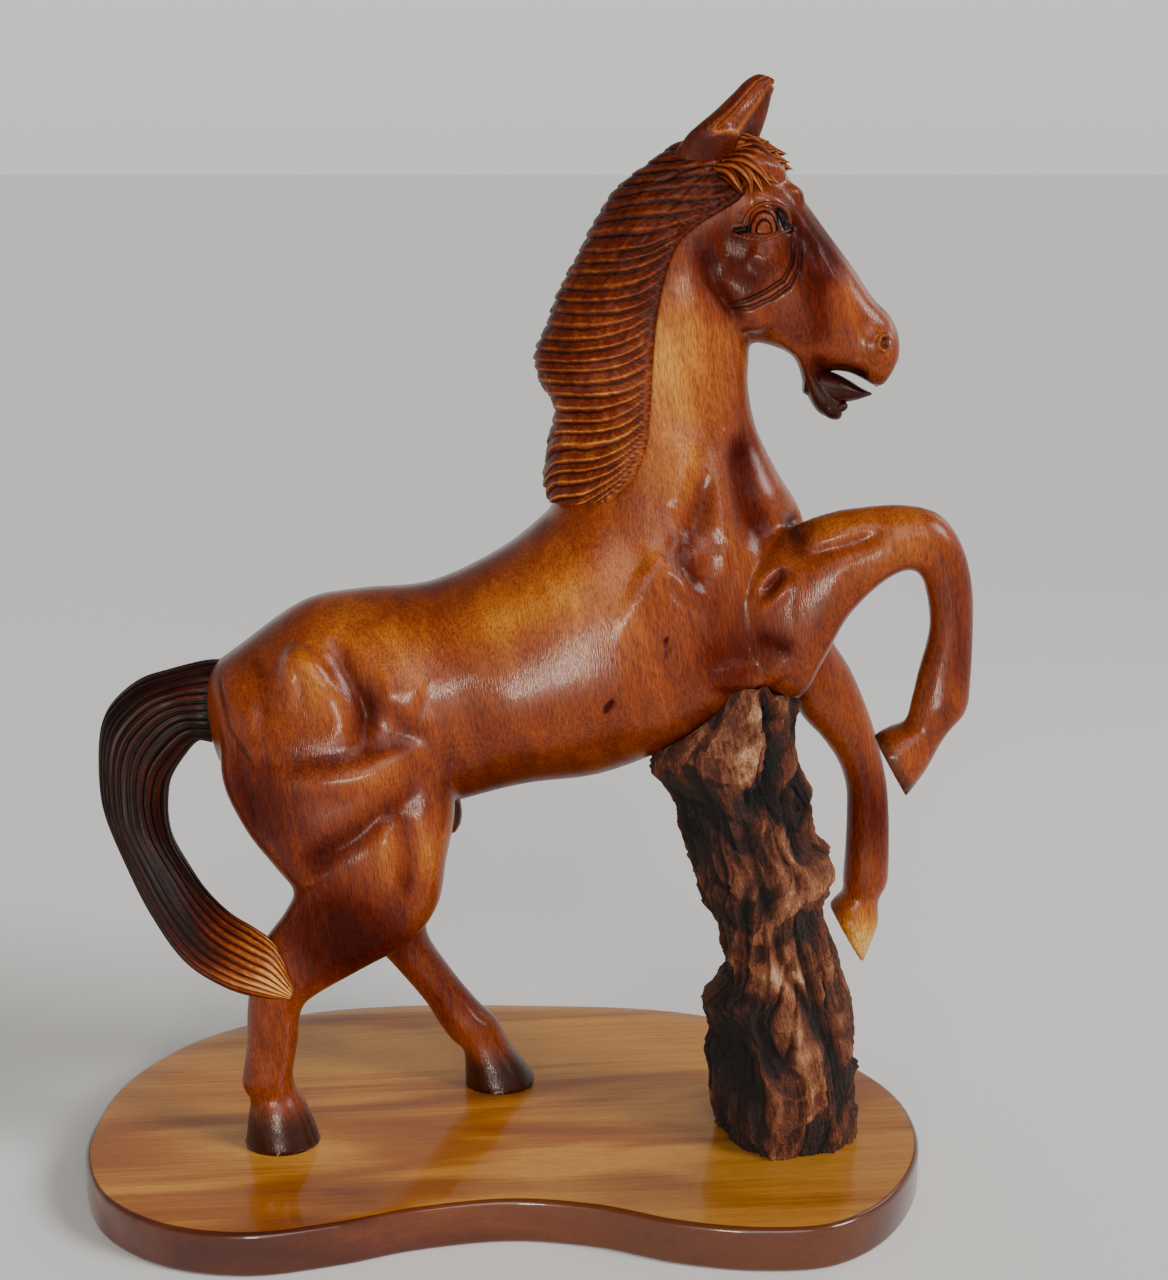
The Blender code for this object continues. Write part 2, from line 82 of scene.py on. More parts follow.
class Cut(Enum):
    """Cross profile of a carved line."""

    ROUND = "bell shape along the line"
    FOLD = "raised on the left of the line and sunk on its right"


def smoothstep(low: float, high: float, value: np.ndarray) -> np.ndarray:
    """Cubic step from 0 to 1.

    Args:
        low: Value where the step starts.
        high: Value where the step ends.
        value: Where to read it.

    Returns:
        The step at each value.
    """
    part = np.clip((value - low) / (high - low), 0.0, 1.0)
    return part * part * (3.0 - 2.0 * part)


def spline(rows: Rows | np.ndarray, along: np.ndarray | int, closed: bool = False) -> np.ndarray:
    """Catmull-Rom curve: each span is the cubic through its ends, with the chord of its
    neighbours as slope.

    Args:
        rows: Stations that the curve passes through.
        along: Station numbers to read, or how many even readings to take.
        closed: Whether the last station runs on to the first.

    Returns:
        One row of values for each reading.
    """
    rows = np.array(rows, float)
    count = len(rows)
    if closed:
        padded = np.vstack([rows[-1], rows, rows[:2]])
        top = count - 1e-9
    else:
        padded = np.vstack([2 * rows[0] - rows[1], rows, 2 * rows[-1] - rows[-2]])
        top = count - 1
    if isinstance(along, int):
        along = np.arange(along) * count / along if closed else np.linspace(0, top, along)
    along = np.clip(np.asarray(along, float), 0, top)
    start = np.minimum(along.astype(int), count - 1 if closed else count - 2)
    part = (along - start)[..., None]
    a, b, c, d = (padded[start + step] for step in range(4))
    bend = 2 * a - 5 * b + 4 * c - d
    twist = 3 * b - a - 3 * c + d
    return 0.5 * (2 * b + (c - a) * part + bend * part**2 + twist * part**3)


def lattice_noise(x: np.ndarray, y: np.ndarray, seed: int, wrap: int = 0) -> np.ndarray:
    """Smooth noise: random values on a square lattice, blended by smoothsteps.

    Args:
        x: First coordinate, in lattice cells.
        y: Second coordinate, in lattice cells.
        seed: Which set of random values.
        wrap: Cells after which the first coordinate repeats, or 0.

    Returns:
        Values between -1 and 1.
    """
    table = np.random.default_rng(seed).uniform(-1, 1, (NOISE_CELLS, NOISE_CELLS))
    left, low = np.floor(x).astype(int), np.floor(y).astype(int)
    right = left + 1
    if wrap:
        left, right = left % wrap, right % wrap
    u, v = x - np.floor(x), y - np.floor(y)
    u, v = u * u * (3 - 2 * u), v * v * (3 - 2 * v)
    left, right = left % NOISE_CELLS, right % NOISE_CELLS
    low, high = low % NOISE_CELLS, (low + 1) % NOISE_CELLS
    lower = table[left, low] * (1 - u) + table[right, low] * u
    upper = table[left, high] * (1 - u) + table[right, high] * u
    return lower * (1 - v) + upper * v


def rings_of(rows: Rows, rings: int, segments: int, power: float = 2.0) -> np.ndarray:
    """Rounded sections between two outlines: middle + half height x cosine + half width x
    sine, both raised to 2 / power.

    Args:
        rows: Stations of two outline points (x, z, x, z), the middle y and half width.
        rings: Sections to make.
        segments: Points round each section.
        power: 2 for ellipses, more for squarer sections.

    Returns:
        Points as rings x segments x 3, in figure units.
    """
    read = spline(rows, rings)
    angle = np.arange(segments) * 2 * math.pi / segments
    across, side = np.cos(angle), np.sin(angle)
    across = np.sign(across) * np.abs(across) ** (2 / power)
    side = np.sign(side) * np.abs(side) ** (2 / power)
    middle = (read[:, 0:2] + read[:, 2:4]) / 2
    half = (read[:, 0:2] - read[:, 2:4]) / 2
    x = middle[:, :1] + half[:, :1] * across
    z = middle[:, 1:] + half[:, 1:] * across
    y = read[:, 4:5] + read[:, 5:6] * side
    return np.stack([x, y, z], axis=-1)


def ellipsoid(row: tuple[float, ...], side: int) -> np.ndarray:
    """Ellipsoid tilted in the side view.

    Args:
        row: x, z, y, radii along, up and across, and the tilt in degrees.
        side: 1, or -1 for the near side.

    Returns:
        Its rings.
    """
    x, z, y, along, up, across, tilt = row
    turn = math.radians(tilt)
    latitude = np.linspace(0.1, math.pi - 0.1, ELLIPSOID_RINGS)[:, None]
    longitude = np.arange(ELLIPSOID_SEGMENTS) * 2 * math.pi / ELLIPSOID_SEGMENTS
    first = along * np.cos(latitude) * np.ones(ELLIPSOID_SEGMENTS)
    second = up * np.sin(latitude) * np.cos(longitude)
    third = across * np.sin(latitude) * np.sin(longitude)
    return np.stack(
        [
            x + first * math.cos(turn) - second * math.sin(turn),
            side * y + third,
            z + first * math.sin(turn) + second * math.cos(turn),
        ],
        axis=-1,
    )


def placed(points: np.ndarray) -> np.ndarray:
    """Figure units to metres, standing where the frame's horse stands."""
    return np.asarray(points, float) * FIGURE_UNIT + (0.0, 0.0, SOLE)


def tube_faces(rings: int, segments: int) -> list[tuple[int, ...]]:
    """Quads of a closed tube and a fan of triangles at each end.

    Args:
        rings: Rings of the tube.
        segments: Points in each ring.

    Returns:
        Faces; the two middle points of the fans follow the rings' points.
    """
    ring, seg = np.meshgrid(np.arange(rings - 1), np.arange(segments), indexing="ij")
    a = ring * segments + seg
    b = ring * segments + (seg + 1) % segments
    quads = np.stack([a, b, b + segments, a + segments], axis=-1).reshape(-1, 4)
    one = np.arange(segments)
    two = (one + 1) % segments
    last = (rings - 1) * segments
    first_pole, last_pole = rings * segments, rings * segments + 1
    start = np.stack([two, one, np.full(segments, first_pole)], axis=-1)
    end = np.stack([last + one, last + two, np.full(segments, last_pole)], axis=-1)
    return quads.tolist() + start.tolist() + end.tolist()


def tubes_object(name: str, tubes: list[np.ndarray]) -> bpy.types.Object:
    """One object of closed tubes, smooth, with its faces outward.

    Args:
        name: Name of the object.
        tubes: Each a stack of rings, in figure units.

    Returns:
        The linked object, in metres.
    """
    points, faces = [], []
    for tube in tubes:
        rings, segments = tube.shape[:2]
        shift = sum(len(part) for part in points)
        ends = np.stack([tube[0].mean(axis=0), tube[-1].mean(axis=0)])
        points.append(np.vstack([tube.reshape(-1, 3), ends]))
        faces.extend([tuple(i + shift for i in face) for face in tube_faces(rings, segments)])
    mesh = bpy.data.meshes.new(name)
    mesh.from_pydata(placed(np.vstack(points)), [], faces)
    shell = bmesh.new()
    shell.from_mesh(mesh)
    bmesh.ops.recalc_face_normals(shell, faces=shell.faces)
    shell.to_mesh(mesh)
    shell.free()
    mesh.shade_smooth()
    made = bpy.data.objects.new(name, mesh)
    bpy.context.scene.collection.objects.link(made)
    return made


def settled(made: bpy.types.Object) -> bpy.types.Object:
    """Gives an object the mesh that its modifiers make.

    Args:
        made: The object.

    Returns:
        The same object.
    """
    graph = bpy.context.evaluated_depsgraph_get()
    mesh = bpy.data.meshes.new_from_object(made.evaluated_get(graph))
    made.modifiers.clear()
    made.data = mesh
    return made


def path_reading(flat: np.ndarray, path: Path) -> tuple[np.ndarray, np.ndarray, np.ndarray]:
    """Nearest place on a broken line, for many points at once.

    Args:
        flat: Points in the side view, count x 2.
        path: Corners of the line.

    Returns:
        The distance, the share of the line's length and the side (1 left, -1 right).
    """
    corners = np.array(path, float)
    start, span = corners[:-1], np.diff(corners, axis=0)
    length = np.linalg.norm(span, axis=1)
    before = np.concatenate([[0.0], np.cumsum(length)[:-1]])
    offset = flat[:, None, :] - start[None]
    share = np.clip((offset * span).sum(-1) / (length**2), 0.0, 1.0)
    away = offset - share[..., None] * span
    distance = np.linalg.norm(away, axis=-1)
    nearest = distance.argmin(axis=1)
    row = np.arange(len(flat))
    cross = span[nearest, 0] * away[row, nearest, 1] - span[nearest, 1] * away[row, nearest, 0]
    along = (before[nearest] + share[row, nearest] * length[nearest]) / length.sum()
    return distance[row, nearest], along, np.sign(cross)


def paint(mesh: bpy.types.Mesh, name: str, values: np.ndarray) -> None:
    """Stores one number for each vertex, for a material to read.

    Args:
        mesh: Mesh to store it on.
        name: Name of the attribute.
        values: One value for each vertex.
    """
    layer = mesh.attributes.get(name) or mesh.attributes.new(name, "FLOAT", "POINT")
    layer.data.foreach_set("value", np.asarray(values, np.float32).ravel())


def vertex_arrays(mesh: bpy.types.Mesh) -> tuple[np.ndarray, np.ndarray]:
    """Reads a mesh's points in figure units and its vertex normals.

    Args:
        mesh: Mesh to read, in metres.

    Returns:
        Points and normals, each count x 3.
    """
    count = len(mesh.vertices)
    points, normals = np.empty(count * 3, np.float32), np.empty(count * 3, np.float32)
    mesh.vertices.foreach_get("co", points)
    mesh.vertex_normals.foreach_get("vector", normals)
    points = points.reshape(-1, 3).astype(float) - (0.0, 0.0, SOLE)
    return points / FIGURE_UNIT, normals.reshape(-1, 3).astype(float)


def relax(mesh: bpy.types.Mesh, weight: np.ndarray, rounds: int) -> None:
    """Taubin smoothing: each vertex moves towards the mean of its neighbours, then a little
    more back, so that the form doesn't shrink.

    Args:
        mesh: Mesh to smooth in place.
        weight: Share of the move for each vertex.
        rounds: Pairs of moves.
    """
    count = len(mesh.vertices)
    edges = np.empty(len(mesh.edges) * 2, np.int32)
    mesh.edges.foreach_get("vertices", edges)
    one, two = edges.reshape(-1, 2).T
    points = np.empty(count * 3, np.float32)
    mesh.vertices.foreach_get("co", points)
    points = points.reshape(-1, 3).astype(float)
    degree = np.maximum(np.bincount(one, minlength=count) + np.bincount(two, minlength=count), 1)
    for step in range(2 * rounds):
        mean = np.empty_like(points)
        for axis in range(3):
            total = np.bincount(one, points[two, axis], count) + np.bincount(two, points[one, axis], count)
            mean[:, axis] = total / degree
        pull = RELAX_IN if step % 2 == 0 else RELAX_OUT
        points += pull * weight[:, None] * (mean - points)
    mesh.vertices.foreach_set("co", points.astype(np.float32).ravel())
    mesh.update()


def linear(colour: str) -> tuple[float, float, float, float]:
    """Turns an sRGB hex colour to linear red, green, blue and full alpha.

    Args:
        colour: Six hex digits.

    Returns:
        Four numbers between 0 and 1.
    """
    parts = [int(colour[i : i + 2], 16) / 255 for i in (0, 2, 4)]
    turned = [p / 12.92 if p <= 0.04045 else ((p + 0.055) / 1.055) ** 2.4 for p in parts]
    return (*turned, 1.0)


def feed(tree: bpy.types.NodeTree, node: bpy.types.Node, inputs: Inputs) -> None:
    """Gives a node's inputs their values and links.

    Args:
        tree: Tree that the node is in.
        node: The node.
        inputs: Input name or number to a value or to the socket that feeds it.
    """
    for name, value in inputs.items():
        if isinstance(value, bpy.types.NodeSocket):
            tree.links.new(value, node.inputs[name])
        else:
            node.inputs[name].default_value = value


def add_node(
    tree: bpy.types.NodeTree,
    kind: str,
    inputs: Inputs | None = None,
    stops: dict[float, str] | None = None,
    output: int | str = 0,
    **settings: str | bool,
) -> bpy.types.NodeSocket:
    """Adds a node with its settings, input values, links and colour stops.

    Args:
        tree: Tree to add it to.
        kind: Blender's name of the node type.
        inputs: Input name or number to a value or to the socket that feeds it.
        stops: For a colour ramp, the place of each stop and its sRGB hex colour.
        output: Name or number of the output that is wanted.
        **settings: The node's own options.

    Returns:
        The wanted output.
    """
    node = tree.nodes.new(kind)
    for name, value in settings.items():
        setattr(node, name, value)
    feed(tree, node, inputs or {})
    if stops:
        elements, places = node.color_ramp.elements, sorted(stops)
        elements[0].position, elements[-1].position = places[0], places[-1]
        for place in places[1:-1]:
            elements.new(place)
        for element, place in zip(elements, places):
            element.color = linear(stops[place])
    return node.outputs[output]


def streaks(
    tree: bpy.types.NodeTree,
    size_mm: Triple,
    turn: Triple,
    detail: float,
    distortion: float = 0.0,
) -> bpy.types.NodeSocket:
    """Noise stretched along the grain, read in Object coordinates.

    Args:
        tree: Tree to add it to.
        size_mm: Size of one spot along each axis of the turned pattern.
        turn: Turn of the pattern about the axes, in degrees.
        detail: Layers of finer noise.
        distortion: How far the noise bends itself.

    Returns:
        The noise, around 0.5.
    """
    node = partial(add_node, tree)
    where = node("ShaderNodeTexCoord", output="Object")
    angles = tuple(math.radians(angle) for angle in turn)
    turned = node("ShaderNodeMapping", {"Vector": where, "Rotation": angles})
    spots = tuple(1.0 / (size * FIGURE_UNIT) for size in size_mm)
    scaled = node("ShaderNodeMapping", {"Vector": turned, "Scale": spots})
    layers = {"Vector": scaled, "Scale": 1.0, "Detail": detail, "Distortion": distortion}
    return node("ShaderNodeTexNoise", layers)


def shifted(
    tree: bpy.types.NodeTree,
    noise: bpy.types.NodeSocket,
    amount: float,
    level: bpy.types.NodeSocket,
    clamp: bool = False,
) -> bpy.types.NodeSocket:
    """Level plus amount x (noise - 0.5).

    Args:
        tree: Tree to add it to.
        noise: Noise around 0.5.
        amount: How much of it is added.
        level: What it is added to.
        clamp: Whether to keep the result between 0 and 1.

    Returns:
        The shifted level.
    """
    centred = add_node(tree, "ShaderNodeMath", {0: noise, 1: 0.5}, operation="SUBTRACT")
    terms = {0: centred, 1: amount, 2: level}
    return add_node(tree, "ShaderNodeMath", terms, operation="MULTIPLY_ADD", use_clamp=clamp)


def new_finish(name: str) -> tuple[bpy.types.Material, bpy.types.NodeTree, bpy.types.Node]:
    """Empty material.

    Args:
        name: Name of the finish.

    Returns:
        The material, its tree and its shader.
    """
    made = bpy.data.materials.new(name)
    made.use_nodes = True
    return made, made.node_tree, made.node_tree.nodes["Principled BSDF"]


@dataclass(frozen=True)
class CarvedWoodFinish:
    """Lacquered monkeypod, carved and sanded, darker in the hollows: partly stain, partly painted shade.

    The eye gets warm brown wood from dark red to gold, short dark pores that run up and down,
    a slow silky figure, faint growth rings, and a clear lacquer whose shine the pores break up
    and that is thin and dull where the tone is dark. The painted tone and dark values hold painted
    shade as well as stain. The pores are drawn about three times as coarse as real ones, so that
    they show. They take up to 0.3 off the roughness named here.
    """

    name: str = "lacquered_monkeypod"
    pore_mm: Triple = (0.6, 0.65, 5.2)
    figure_mm: Triple = (12.0, 14.0, 70.0)
    silk_mm: Triple = (1.5, 1.7, 16.0)
    growth_mm: Triple = (70.0, 60.0, 110.0)
    growth_rings: float = 280.0
    roughness: float = 0.51
    ior: float = 1.25
    lacquer: float = 0.52
    lacquer_ior: float = 1.38
    lacquer_roughness: float = 0.14
    pore_depth: float = 0.0004

    def build(self) -> bpy.types.Material:
        """Builds the finish; it reads the painted values tone and dark.

        Returns:
            The material.
        """
        made, tree, shader = new_finish(self.name)
        node = partial(add_node, tree)
        tone = node("ShaderNodeAttribute", output="Fac", attribute_name="tone")
        dark = node("ShaderNodeAttribute", output="Fac", attribute_name="dark")
        pores = streaks(tree, self.pore_mm, (0, 6, 0), 2.0)
        level = shifted(tree, streaks(tree, self.figure_mm, (0, 14, 0), 3.0, 0.6), 0.38, tone)
        level = shifted(tree, streaks(tree, self.silk_mm, (0, 8, 0), 3.0, 0.3), 0.30, level)
        growth = streaks(tree, self.growth_mm, (0, 50, 0), 1.0, 0.3)
        turns = node("ShaderNodeMath", {0: growth, 1: self.growth_rings}, operation="MULTIPLY")
        waves = node("ShaderNodeMath", {0: turns}, operation="SINE")
        ringed = {0: waves, 1: 0.018, 2: level}
        level = node("ShaderNodeMath", ringed, operation="MULTIPLY_ADD", use_clamp=True)
        stain = {0.0: "380a02", 0.22: "5a1903", 0.45: "86380a", 0.65: "aa5c17", 0.82: "c3802b", 1.0: "d8a24c"}
        wood = node("ShaderNodeValToRGB", {"Fac": level}, stops=stain)
        fleck_range = {"Value": pores, "From Min": 0.34, "From Max": 0.56, "To Min": 0.30, "To Max": 1.0}
        flecks = node("ShaderNodeMapRange", fleck_range)
        grained = node("ShaderNodeMix", {0: 0.72, 6: wood, 7: flecks}, output=2, data_type="RGBA",
                       blend_type="MULTIPLY")
        # dark mixes in near-black: on the hind hooves and sheath, and as painted shade in the mouth, under
        # the chin, in cut lines, eye corners, the foreleg notch and the near fore sole
        darkening = {0: dark, 6: grained, 7: linear("0e0301")}
        stained = node("ShaderNodeMix", darkening, output=2, data_type="RGBA")
        rough = node("ShaderNodeMath", {0: pores, 1: -0.3, 2: self.roughness}, operation="MULTIPLY_ADD")
        shine_range = {"Value": tone, "From Min": 0.12, "From Max": 0.36, "To Min": 0.25, "To Max": 1.0}
        shine = node("ShaderNodeMapRange", shine_range)
        feed(tree, shader, {
            "Base Color": stained,
            "Roughness": rough,
            "IOR": self.ior,
            "Specular IOR Level": node("ShaderNodeMath", {0: shine, 1: 0.5}, operation="MULTIPLY"),
            "Coat Weight": node("ShaderNodeMath", {0: shine, 1: self.lacquer}, operation="MULTIPLY"),
            "Coat IOR": self.lacquer_ior,
            "Coat Roughness": self.lacquer_roughness,
        })
        for socket, strength in (("Normal", 0.42), ("Coat Normal", 0.30)):
            relief = {"Height": pores, "Strength": strength, "Distance": self.pore_depth}
            feed(tree, shader, {socket: node("ShaderNodeBump", relief)})
        return made


@dataclass(frozen=True)
class HairFinish:
    """The same wood where it is cut into locks of hair: darker in the cuts (partly stain, partly painted
    shade), worn ridges.

    The eye gets near-black grooves (partly painted shade), red-brown sides and ridges rubbed to copper and
    gold.
    """

    name: str = "stained_carved_locks"
    grain_mm: Triple = (1.2, 1.2, 5.0)
    patch_mm: Triple = (16.0, 16.0, 26.0)
    roughness: float = 0.46
    ior: float = 1.22
    lacquer: float = 0.12
    lacquer_ior: float = 1.36
    lacquer_roughness: float = 0.25

    def build(self) -> bpy.types.Material:
        """Builds the finish; it reads the painted values ridge and worn.

        Returns:
            The material.
        """
        made, tree, shader = new_finish(self.name)
        node = partial(add_node, tree)
        ridge = node("ShaderNodeAttribute", output="Fac", attribute_name="ridge")
        worn = node("ShaderNodeAttribute", output="Fac", attribute_name="worn")
        grain = streaks(tree, self.grain_mm, (0, 60, 0), 3.0)
        patches = streaks(tree, self.patch_mm, (0, 20, 0), 3.0)
        level = node("ShaderNodeMath", {0: ridge, 1: 0.72, 2: worn}, operation="MULTIPLY_ADD")
        level = shifted(tree, grain, 0.40, level)
        level = shifted(tree, patches, 0.35, level, clamp=True)
        stain = {0.0: "0c0200", 0.28: "2e0b03", 0.52: "602006", 0.76: "974f18", 1.0: "cf9650"}
        feed(tree, shader, {
            "Base Color": node("ShaderNodeValToRGB", {"Fac": level}, stops=stain),
            "Roughness": self.roughness,
            "IOR": self.ior,
            "Coat Weight": self.lacquer,
            "Coat IOR": self.lacquer_ior,
            "Coat Roughness": self.lacquer_roughness,
            "Normal": node("ShaderNodeBump", {"Height": grain, "Strength": 0.4, "Distance": 0.0006}),
        })
        return made


@dataclass(frozen=True)
class RoughRootFinish:
    """Bare weathered root wood: fissured, paler on the ridges (partly dust, partly painted light), almost
    black in the cracks as painted shade.

    The eye gets a dry matt brown, pale where the surface stands out, with painted shade on its left side and
    low down.
    """

    name: str = "weathered_root_wood"
    fibre_mm: Triple = (1.6, 1.6, 14.0)
    spot_mm: Triple = (9.0, 9.0, 16.0)
    crumb_mm: Triple = (1.1, 1.1, 1.6)
    roughness: float = 0.78
    relief: float = 0.003

    def build(self) -> bpy.types.Material:
        """Builds the finish; it reads the painted value raised.

        Returns:
            The material.
        """
        made, tree, shader = new_finish(self.name)
        node = partial(add_node, tree)
        raised = node("ShaderNodeAttribute", output="Fac", attribute_name="raised")
        fibres = streaks(tree, self.fibre_mm, (0, 12, 0), 4.0, 0.4)
        spots = streaks(tree, self.spot_mm, (0, 10, 0), 5.0, 0.5)
        crumbs = streaks(tree, self.crumb_mm, (0, 0, 0), 4.0)
        level = shifted(tree, fibres, 0.55, raised)
        level = shifted(tree, spots, 0.42, level)
        level = shifted(tree, crumbs, 0.35, level, clamp=True)
        heights = node("ShaderNodeMath", {0: fibres, 1: crumbs}, operation="ADD")
        browns = {0.0: "070201", 0.26: "280d04", 0.5: "602a10", 0.74: "945a36", 1.0: "caa07c"}
        feed(tree, shader, {
            "Base Color": node("ShaderNodeValToRGB", {"Fac": level}, stops=browns),
            "Roughness": self.roughness,
            "Normal": node("ShaderNodeBump", {"Height": heights, "Strength": 1.0, "Distance": self.relief}),
        })
        return made


@dataclass(frozen=True)
class SlabFinish:
    """Varnished monkeypod plank: golden brown with long soft bands and a polished gloss.

    The eye gets grain that runs the length of the slab in slow waves, browner wood at one end
    and along the front, a red-brown edge that is partly end grain and partly a painted reflection,
    and a reflection of what stands on it. The golds are lifted a little as painted sheen. The pores
    are drawn about three times as coarse as real ones, so that they show.
    """

    name: str = "varnished_monkeypod_plank"
    band_mm: Triple = (340.0, 56.0, 60.0)
    line_mm: Triple = (120.0, 2.6, 5.0)
    pore_mm: Triple = (7.0, 0.6, 0.7)
    roughness: float = 0.3
    ior: float = 1.36
    varnish: float = 0.72
    varnish_roughness: float = 0.07

    def build(self) -> bpy.types.Material:
        """Builds the finish; it reads the painted values streaky and rim.

        Returns:
            The material.
        """
        made, tree, shader = new_finish(self.name)
        node = partial(add_node, tree)
        streaky = node("ShaderNodeAttribute", output="Fac", attribute_name="streaky")
        rim = node("ShaderNodeAttribute", output="Fac", attribute_name="rim")
        bands = streaks(tree, self.band_mm, (0, 0, -6), 2.0, 1.0)
        lines = streaks(tree, self.line_mm, (0, 0, -5), 3.0, 0.8)
        pores = streaks(tree, self.pore_mm, (0, 0, -5), 2.0)
        level = shifted(tree, lines, 0.20, bands, clamp=True)
        # golds: the plank's colour, lifted a little as painted sheen
        golds = {0.3: "8a450f", 0.44: "b06515", 0.58: "dc9639", 0.75: "c67c23"}
        wood = node("ShaderNodeValToRGB", {"Fac": level}, stops=golds)
        pale = node("ShaderNodeMath", {0: streaky, 1: -0.15, 2: 0.5}, operation="MULTIPLY_ADD")
        brown_range = {"Value": pale, "From Min": 0.22, "From Max": 0.42, "To Min": 0.85, "To Max": 0.0}
        brown = node("ShaderNodeMapRange", brown_range)
        darkening = {0: brown, 6: wood, 7: linear("4a2009")}
        wood = node("ShaderNodeMix", darkening, output=2, data_type="RGBA")
        fleck_range = {"Value": pores, "From Min": 0.30, "From Max": 0.50, "To Min": 0.62, "To Max": 1.0}
        flecks = node("ShaderNodeMapRange", fleck_range)
        grained = node("ShaderNodeMix", {0: 0.7, 6: wood, 7: flecks}, output=2, data_type="RGBA",
                       blend_type="MULTIPLY")
        # red-brown edge: partly end grain, partly a painted reflection
        sided = node("ShaderNodeMix", {0: rim, 6: grained, 7: linear("5c1202")}, output=2, data_type="RGBA",
                     blend_type="MULTIPLY")
        feed(tree, shader, {
            "Base Color": sided,
            "Roughness": self.roughness,
            "IOR": self.ior,
            "Coat Weight": self.varnish,
            "Coat Roughness": self.varnish_roughness,
            "Normal": node("ShaderNodeBump", {"Height": pores, "Strength": 0.12, "Distance": 0.0003}),
        })
        return made


def handed_over(made: bpy.types.Object, finish: bpy.types.Material, node: str) -> None:
    """Dresses a finished piece and ties it to the frame.

    Args:
        made: The piece.
        finish: Its material.
        node: The frame's node that it stands for.
    """
    made.data.materials.clear()
    made.data.materials.append(finish)
    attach(made, "root")
    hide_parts(node)
    made.data.calc_loop_triangles()
    log.info("%s: %d triangles", made.name, len(made.data.loop_triangles))


@dataclass(frozen=True)
class Carving:
    """One carved line, muscle edge or hollow, drawn in the side view."""

    path: Path
    width: float
    height: float
    cut: Cut = Cut.ROUND
    side: Side = Side.BOTH
    taper: float = 0.25

    def relief(self, points: np.ndarray, normals: np.ndarray) -> np.ndarray:
        """Height to add along the normals: height x exp(-(distance / width) squared), or for
        a fold its slope, faded at the line's ends and where the surface turns away.

        Args:
            points: Points in figure units.
            normals: Their normals.

        Returns:
            Height for each point, in figure units.
        """
        lift = np.zeros(len(points))
        corners = np.array(self.path, float)
        margin = 3.0 * self.width
        flat = points[:, (0, 2)]
        close = np.all((flat > corners.min(0) - margin) & (flat < corners.max(0) + margin), axis=1)
        if not close.any():
            return lift
        distance, along, left = path_reading(flat[close], self.path)
        ratio = distance / self.width
        shape = np.exp(-(ratio**2))
        if self.cut is Cut.FOLD:
            shape = left * 1.65 * ratio * np.exp(-0.5 * ratio**2)
        if self.taper > 0:
            shape = shape * smoothstep(-0.05, self.taper, along) * smoothstep(-0.05, self.taper, 1 - along)
        y, sideways = points[close, 1], normals[close, 1]
        shape = shape * smoothstep(0.12, 0.5, sideways * np.sign(y)) * smoothstep(3.0, 8.0, np.abs(y))
        if self.side is not Side.BOTH:
            shape = shape * (np.sign(y) == self.side.value)
        lift[close] = self.height * shape
        return lift


